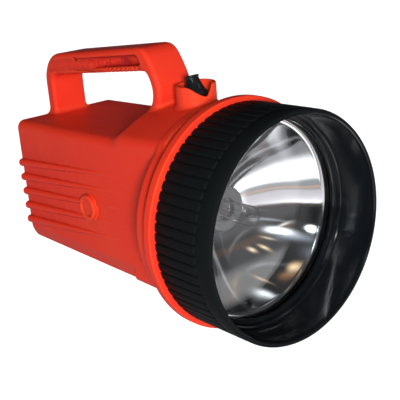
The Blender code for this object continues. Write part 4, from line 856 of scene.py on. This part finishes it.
# ---- Lens gasket --------------------------------------------------------------------------------------------
# A thin black rubber band that sits behind the lens's rim and keeps water out of the lamp.
gasket_outline = [(52.5, 29.6), (53.2, 29.6), (53.2, 30.8), (52.5, 30.8)]
set_down("gasket_band", lathe(gasket_outline, ROUND_STEPS), rubber, "lens_carrier", 30, ["lens_gasket"])

# ---- Lens ring ----------------------------------------------------------------------------------------------
# Black moulded ring: a deep glossy hood with stepped ledges in front of the lens, and grip ribs all round its
# outside, from the rear edge almost to the lip.
RIBS = 72
ring_outline = [(58.6, 0.0), (59.5, 0.35), (60.0, 1.3), (60.0, 9.4), (59.75, 10.2), (59.1, 10.6), (58.75, 40.3),
                (55.8, 40.3), (55.8, 38.4), (55.0, 37.7), (55.0, 30.3), (54.6, 29.3), (54.6, 26.6), (52.8, 26.6),
                (52.8, 25.2), (53.3, 24.6), (54.5, 24.2), (54.7, 21.4), (55.1, 21.0), (55.9, 20.8), (57.0, 1.6),
                (57.4, 0.5), (57.9, 0.05)]
HOOD_REAR_Y = 26.6
black = finish("black_moulding", (0.0042, 0.0056, 0.0062), (0.0066, 0.0082, 0.0088), 0.48, 1300.0, 0.07, 0.4,
               specular=0.03)
hood_black = finish("polished_black", (0.0030, 0.0042, 0.0060), (0.0045, 0.0058, 0.0075), 0.13, 1300.0, 0.015,
                    0.2, specular=0.40)
ring_shape = lathe(ring_outline, 4 * RIBS)
# The hood's inside is polished and everything else on the ring has the plain black grain
for face in ring_shape.faces:
    middle = face.calc_center_median()
    radial = Vector((middle.x, 0.0, middle.z)).normalized()
    face.material_index = 1 if face.normal.dot(radial) < -0.2 and middle.y < HOOD_REAR_Y else 0
set_down("lens_ring_shell", ring_shape, [black, hood_black], "ring", 28, ["lens_ring"])

GRIP_BASE_MM, GRIP_FOOT_MM, GRIP_FRONT_Y, GRIP_REAR_Y, GRIP_RIB_HALF_MM = 59.0, 58.4, 10.4, 40.3, 2.15
rib_shape = bmesh.new()
rib_loops = []
for y, width, height in ((GRIP_FRONT_Y, 1.5, 0.0), (GRIP_FRONT_Y + 0.25, 1.8, 0.55),
                         (GRIP_FRONT_Y + 0.9, 2.0, 0.95), (GRIP_FRONT_Y + 2.0, GRIP_RIB_HALF_MM, 1.0),
                         (GRIP_REAR_Y - 0.6, GRIP_RIB_HALF_MM, 0.78), (GRIP_REAR_Y, GRIP_RIB_HALF_MM - 0.3, 0.55)):
    rise = GRIP_BASE_MM + height
    right_half = [(width - 0.35, rise - 0.04), (width, rise - 0.35), (width + 0.15, GRIP_FOOT_MM)]
    left_half = [(-x, z) for x, z in reversed(right_half)]
    rib_loops.append([rib_shape.verts.new((x, y, z)) for x, z in left_half + [(0.0, rise)] + right_half])
for one, two in zip(rib_loops, rib_loops[1:]):
    for index in range(len(one)):
        after = (index + 1) % len(one)
        rib_shape.faces.new((one[index], one[after], two[after], two[index]))
rib_shape.faces.new(rib_loops[0])
rib_shape.faces.new(rib_loops[-1])
bmesh.ops.recalc_face_normals(rib_shape, faces=rib_shape.faces)
rib_mesh = bpy.data.meshes.new("grip_rib")
rib_shape.to_mesh(rib_mesh)
rib_shape.free()
rib_mesh.shade_smooth()
rib_mesh.set_sharp_from_angle(angle=math.radians(40))
rib_pattern = link("grip_rib_pattern", rib_mesh)

ribs_tree = bpy.data.node_groups.new("ring_ribs", "GeometryNodeTree")
ribs_tree.interface.new_socket("Geometry", in_out="INPUT", socket_type="NodeSocketGeometry")
count_socket = ribs_tree.interface.new_socket("Count", in_out="INPUT", socket_type="NodeSocketInt")
pattern_socket = ribs_tree.interface.new_socket("Rib", in_out="INPUT", socket_type="NodeSocketObject")
finish_socket = ribs_tree.interface.new_socket("Finish", in_out="INPUT", socket_type="NodeSocketMaterial")
ribs_tree.interface.new_socket("Geometry", in_out="OUTPUT", socket_type="NodeSocketGeometry")
ribs_in = ribs_tree.nodes.new("NodeGroupInput")
ribs_out = ribs_tree.nodes.new("NodeGroupOutput")
places = ribs_tree.nodes.new("GeometryNodeMeshLine")
number = ribs_tree.nodes.new("GeometryNodeInputIndex")
angle = math_node(ribs_tree, "MULTIPLY", number.outputs[0], 2 * math.pi / RIBS)
turn = ribs_tree.nodes.new("ShaderNodeCombineXYZ")
ribs_tree.links.new(angle, turn.inputs["Y"])
spread_out = ribs_tree.nodes.new("GeometryNodeInstanceOnPoints")
info = ribs_tree.nodes.new("GeometryNodeObjectInfo")
real = ribs_tree.nodes.new("GeometryNodeRealizeInstances")
painted = ribs_tree.nodes.new("GeometryNodeSetMaterial")
ribs_tree.links.new(ribs_in.outputs["Count"], places.inputs["Count"])
ribs_tree.links.new(ribs_in.outputs["Rib"], info.inputs["Object"])
ribs_tree.links.new(places.outputs["Mesh"], spread_out.inputs["Points"])
ribs_tree.links.new(info.outputs["Geometry"], spread_out.inputs["Instance"])
ribs_tree.links.new(turn.outputs[0], spread_out.inputs["Rotation"])
ribs_tree.links.new(spread_out.outputs[0], real.inputs[0])
ribs_tree.links.new(real.outputs[0], painted.inputs["Geometry"])
ribs_tree.links.new(ribs_in.outputs["Finish"], painted.inputs["Material"])
ribs_tree.links.new(painted.outputs[0], ribs_out.inputs[0])
places.inputs["Offset"].default_value = (0.0, 0.0, 0.0)
ribs_start = link("ribs_start", bpy.data.meshes.new("ribs_start"))
ribs_made = ribs_start.modifiers.new("ribs", "NODES")
ribs_made.node_group = ribs_tree
ribs_made[count_socket.identifier] = RIBS
ribs_made[pattern_socket.identifier] = rib_pattern
ribs_made[finish_socket.identifier] = black
bpy.context.view_layer.update()
ribs_mesh = bpy.data.meshes.new_from_object(ribs_start.evaluated_get(bpy.context.evaluated_depsgraph_get()))
bpy.data.objects.remove(ribs_start)
bpy.data.objects.remove(rib_pattern)
ribs_mesh.transform(STANDING @ Matrix.Scale(MM, 4))
ring_ribs = link("lens_ring_ribs", ribs_mesh)
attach(ring_ribs, "ring")

# ---- Switch nut and rubber boot -----------------------------------------------------------------------------
# The toggle switch stands in the guard under a moulded rubber boot: a rolled foot held by the nut, a tapered
# sleeve with a skirt, and a flat cap with a small lip. The foot stands upright and the sleeve above it
# is bent over at a fixed lean.
dress(finish("black_nylon", (0.014, 0.014, 0.016), (0.022, 0.022, 0.024), 0.45, 1500.0, 0.06), "boot_nut")
LEAN = math.radians(13)
BOOT_FOOT_Z, BEND_START_MM, BEND_RUN_MM = 58.5, 2.0, 4.0
boot_outline = [(0.0, 12.6), (2.8, 12.7), (3.5, 12.8), (3.9, 12.65), (4.05, 12.3), (3.95, 11.8), (3.75, 11.4),
                (3.85, 10.5), (4.4, 8.5), (5.1, 6.5), (5.5, 5.5), (5.6, 4.9), (6.0, 4.5), (6.4, 3.9), (6.5, 3.2),
                (6.5, 2.6), (6.1, 2.4), (5.5, 2.5), (5.0, 3.6), (4.5, 6.4), (3.7, 9.5), (3.2, 11.7), (0.0, 11.9)]
boot_shape = lathe([(r, -h) for r, h in boot_outline], 64)
for vert in boot_shape.verts:
    r, height, across = vert.co.z, -vert.co.y, vert.co.x
    lean = LEAN * min(max((height - BEND_START_MM) / BEND_RUN_MM, 0.0), 1.0)
    vert.co = Vector((across, r, height))
    vert.co = Matrix.Rotation(-lean, 3, "X") @ vert.co
    vert.co += Vector((0.0, SWITCH_Y, BOOT_FOOT_Z))
# A sleeve this thin can come out facing inwards, which its volume shows
bmesh.ops.recalc_face_normals(boot_shape, faces=boot_shape.faces)
if boot_shape.calc_volume(signed=True) < 0:
    bmesh.ops.reverse_faces(boot_shape, faces=boot_shape.faces)
boot_rubber = finish("boot_rubber", (0.0060, 0.0065, 0.0080), (0.0090, 0.0095, 0.0110), 0.17, 1200.0, 0.04)
boot_mesh = bpy.data.meshes.new("boot_sleeve")
bmesh.ops.transform(boot_shape, matrix=STANDING @ Matrix.Scale(MM, 4), verts=boot_shape.verts)
boot_shape.to_mesh(boot_mesh)
boot_shape.free()
boot_mesh.shade_smooth()
boot_mesh.materials.append(boot_rubber)
boot = link("boot_sleeve", boot_mesh)
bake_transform(boot)
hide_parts("switch_boot")
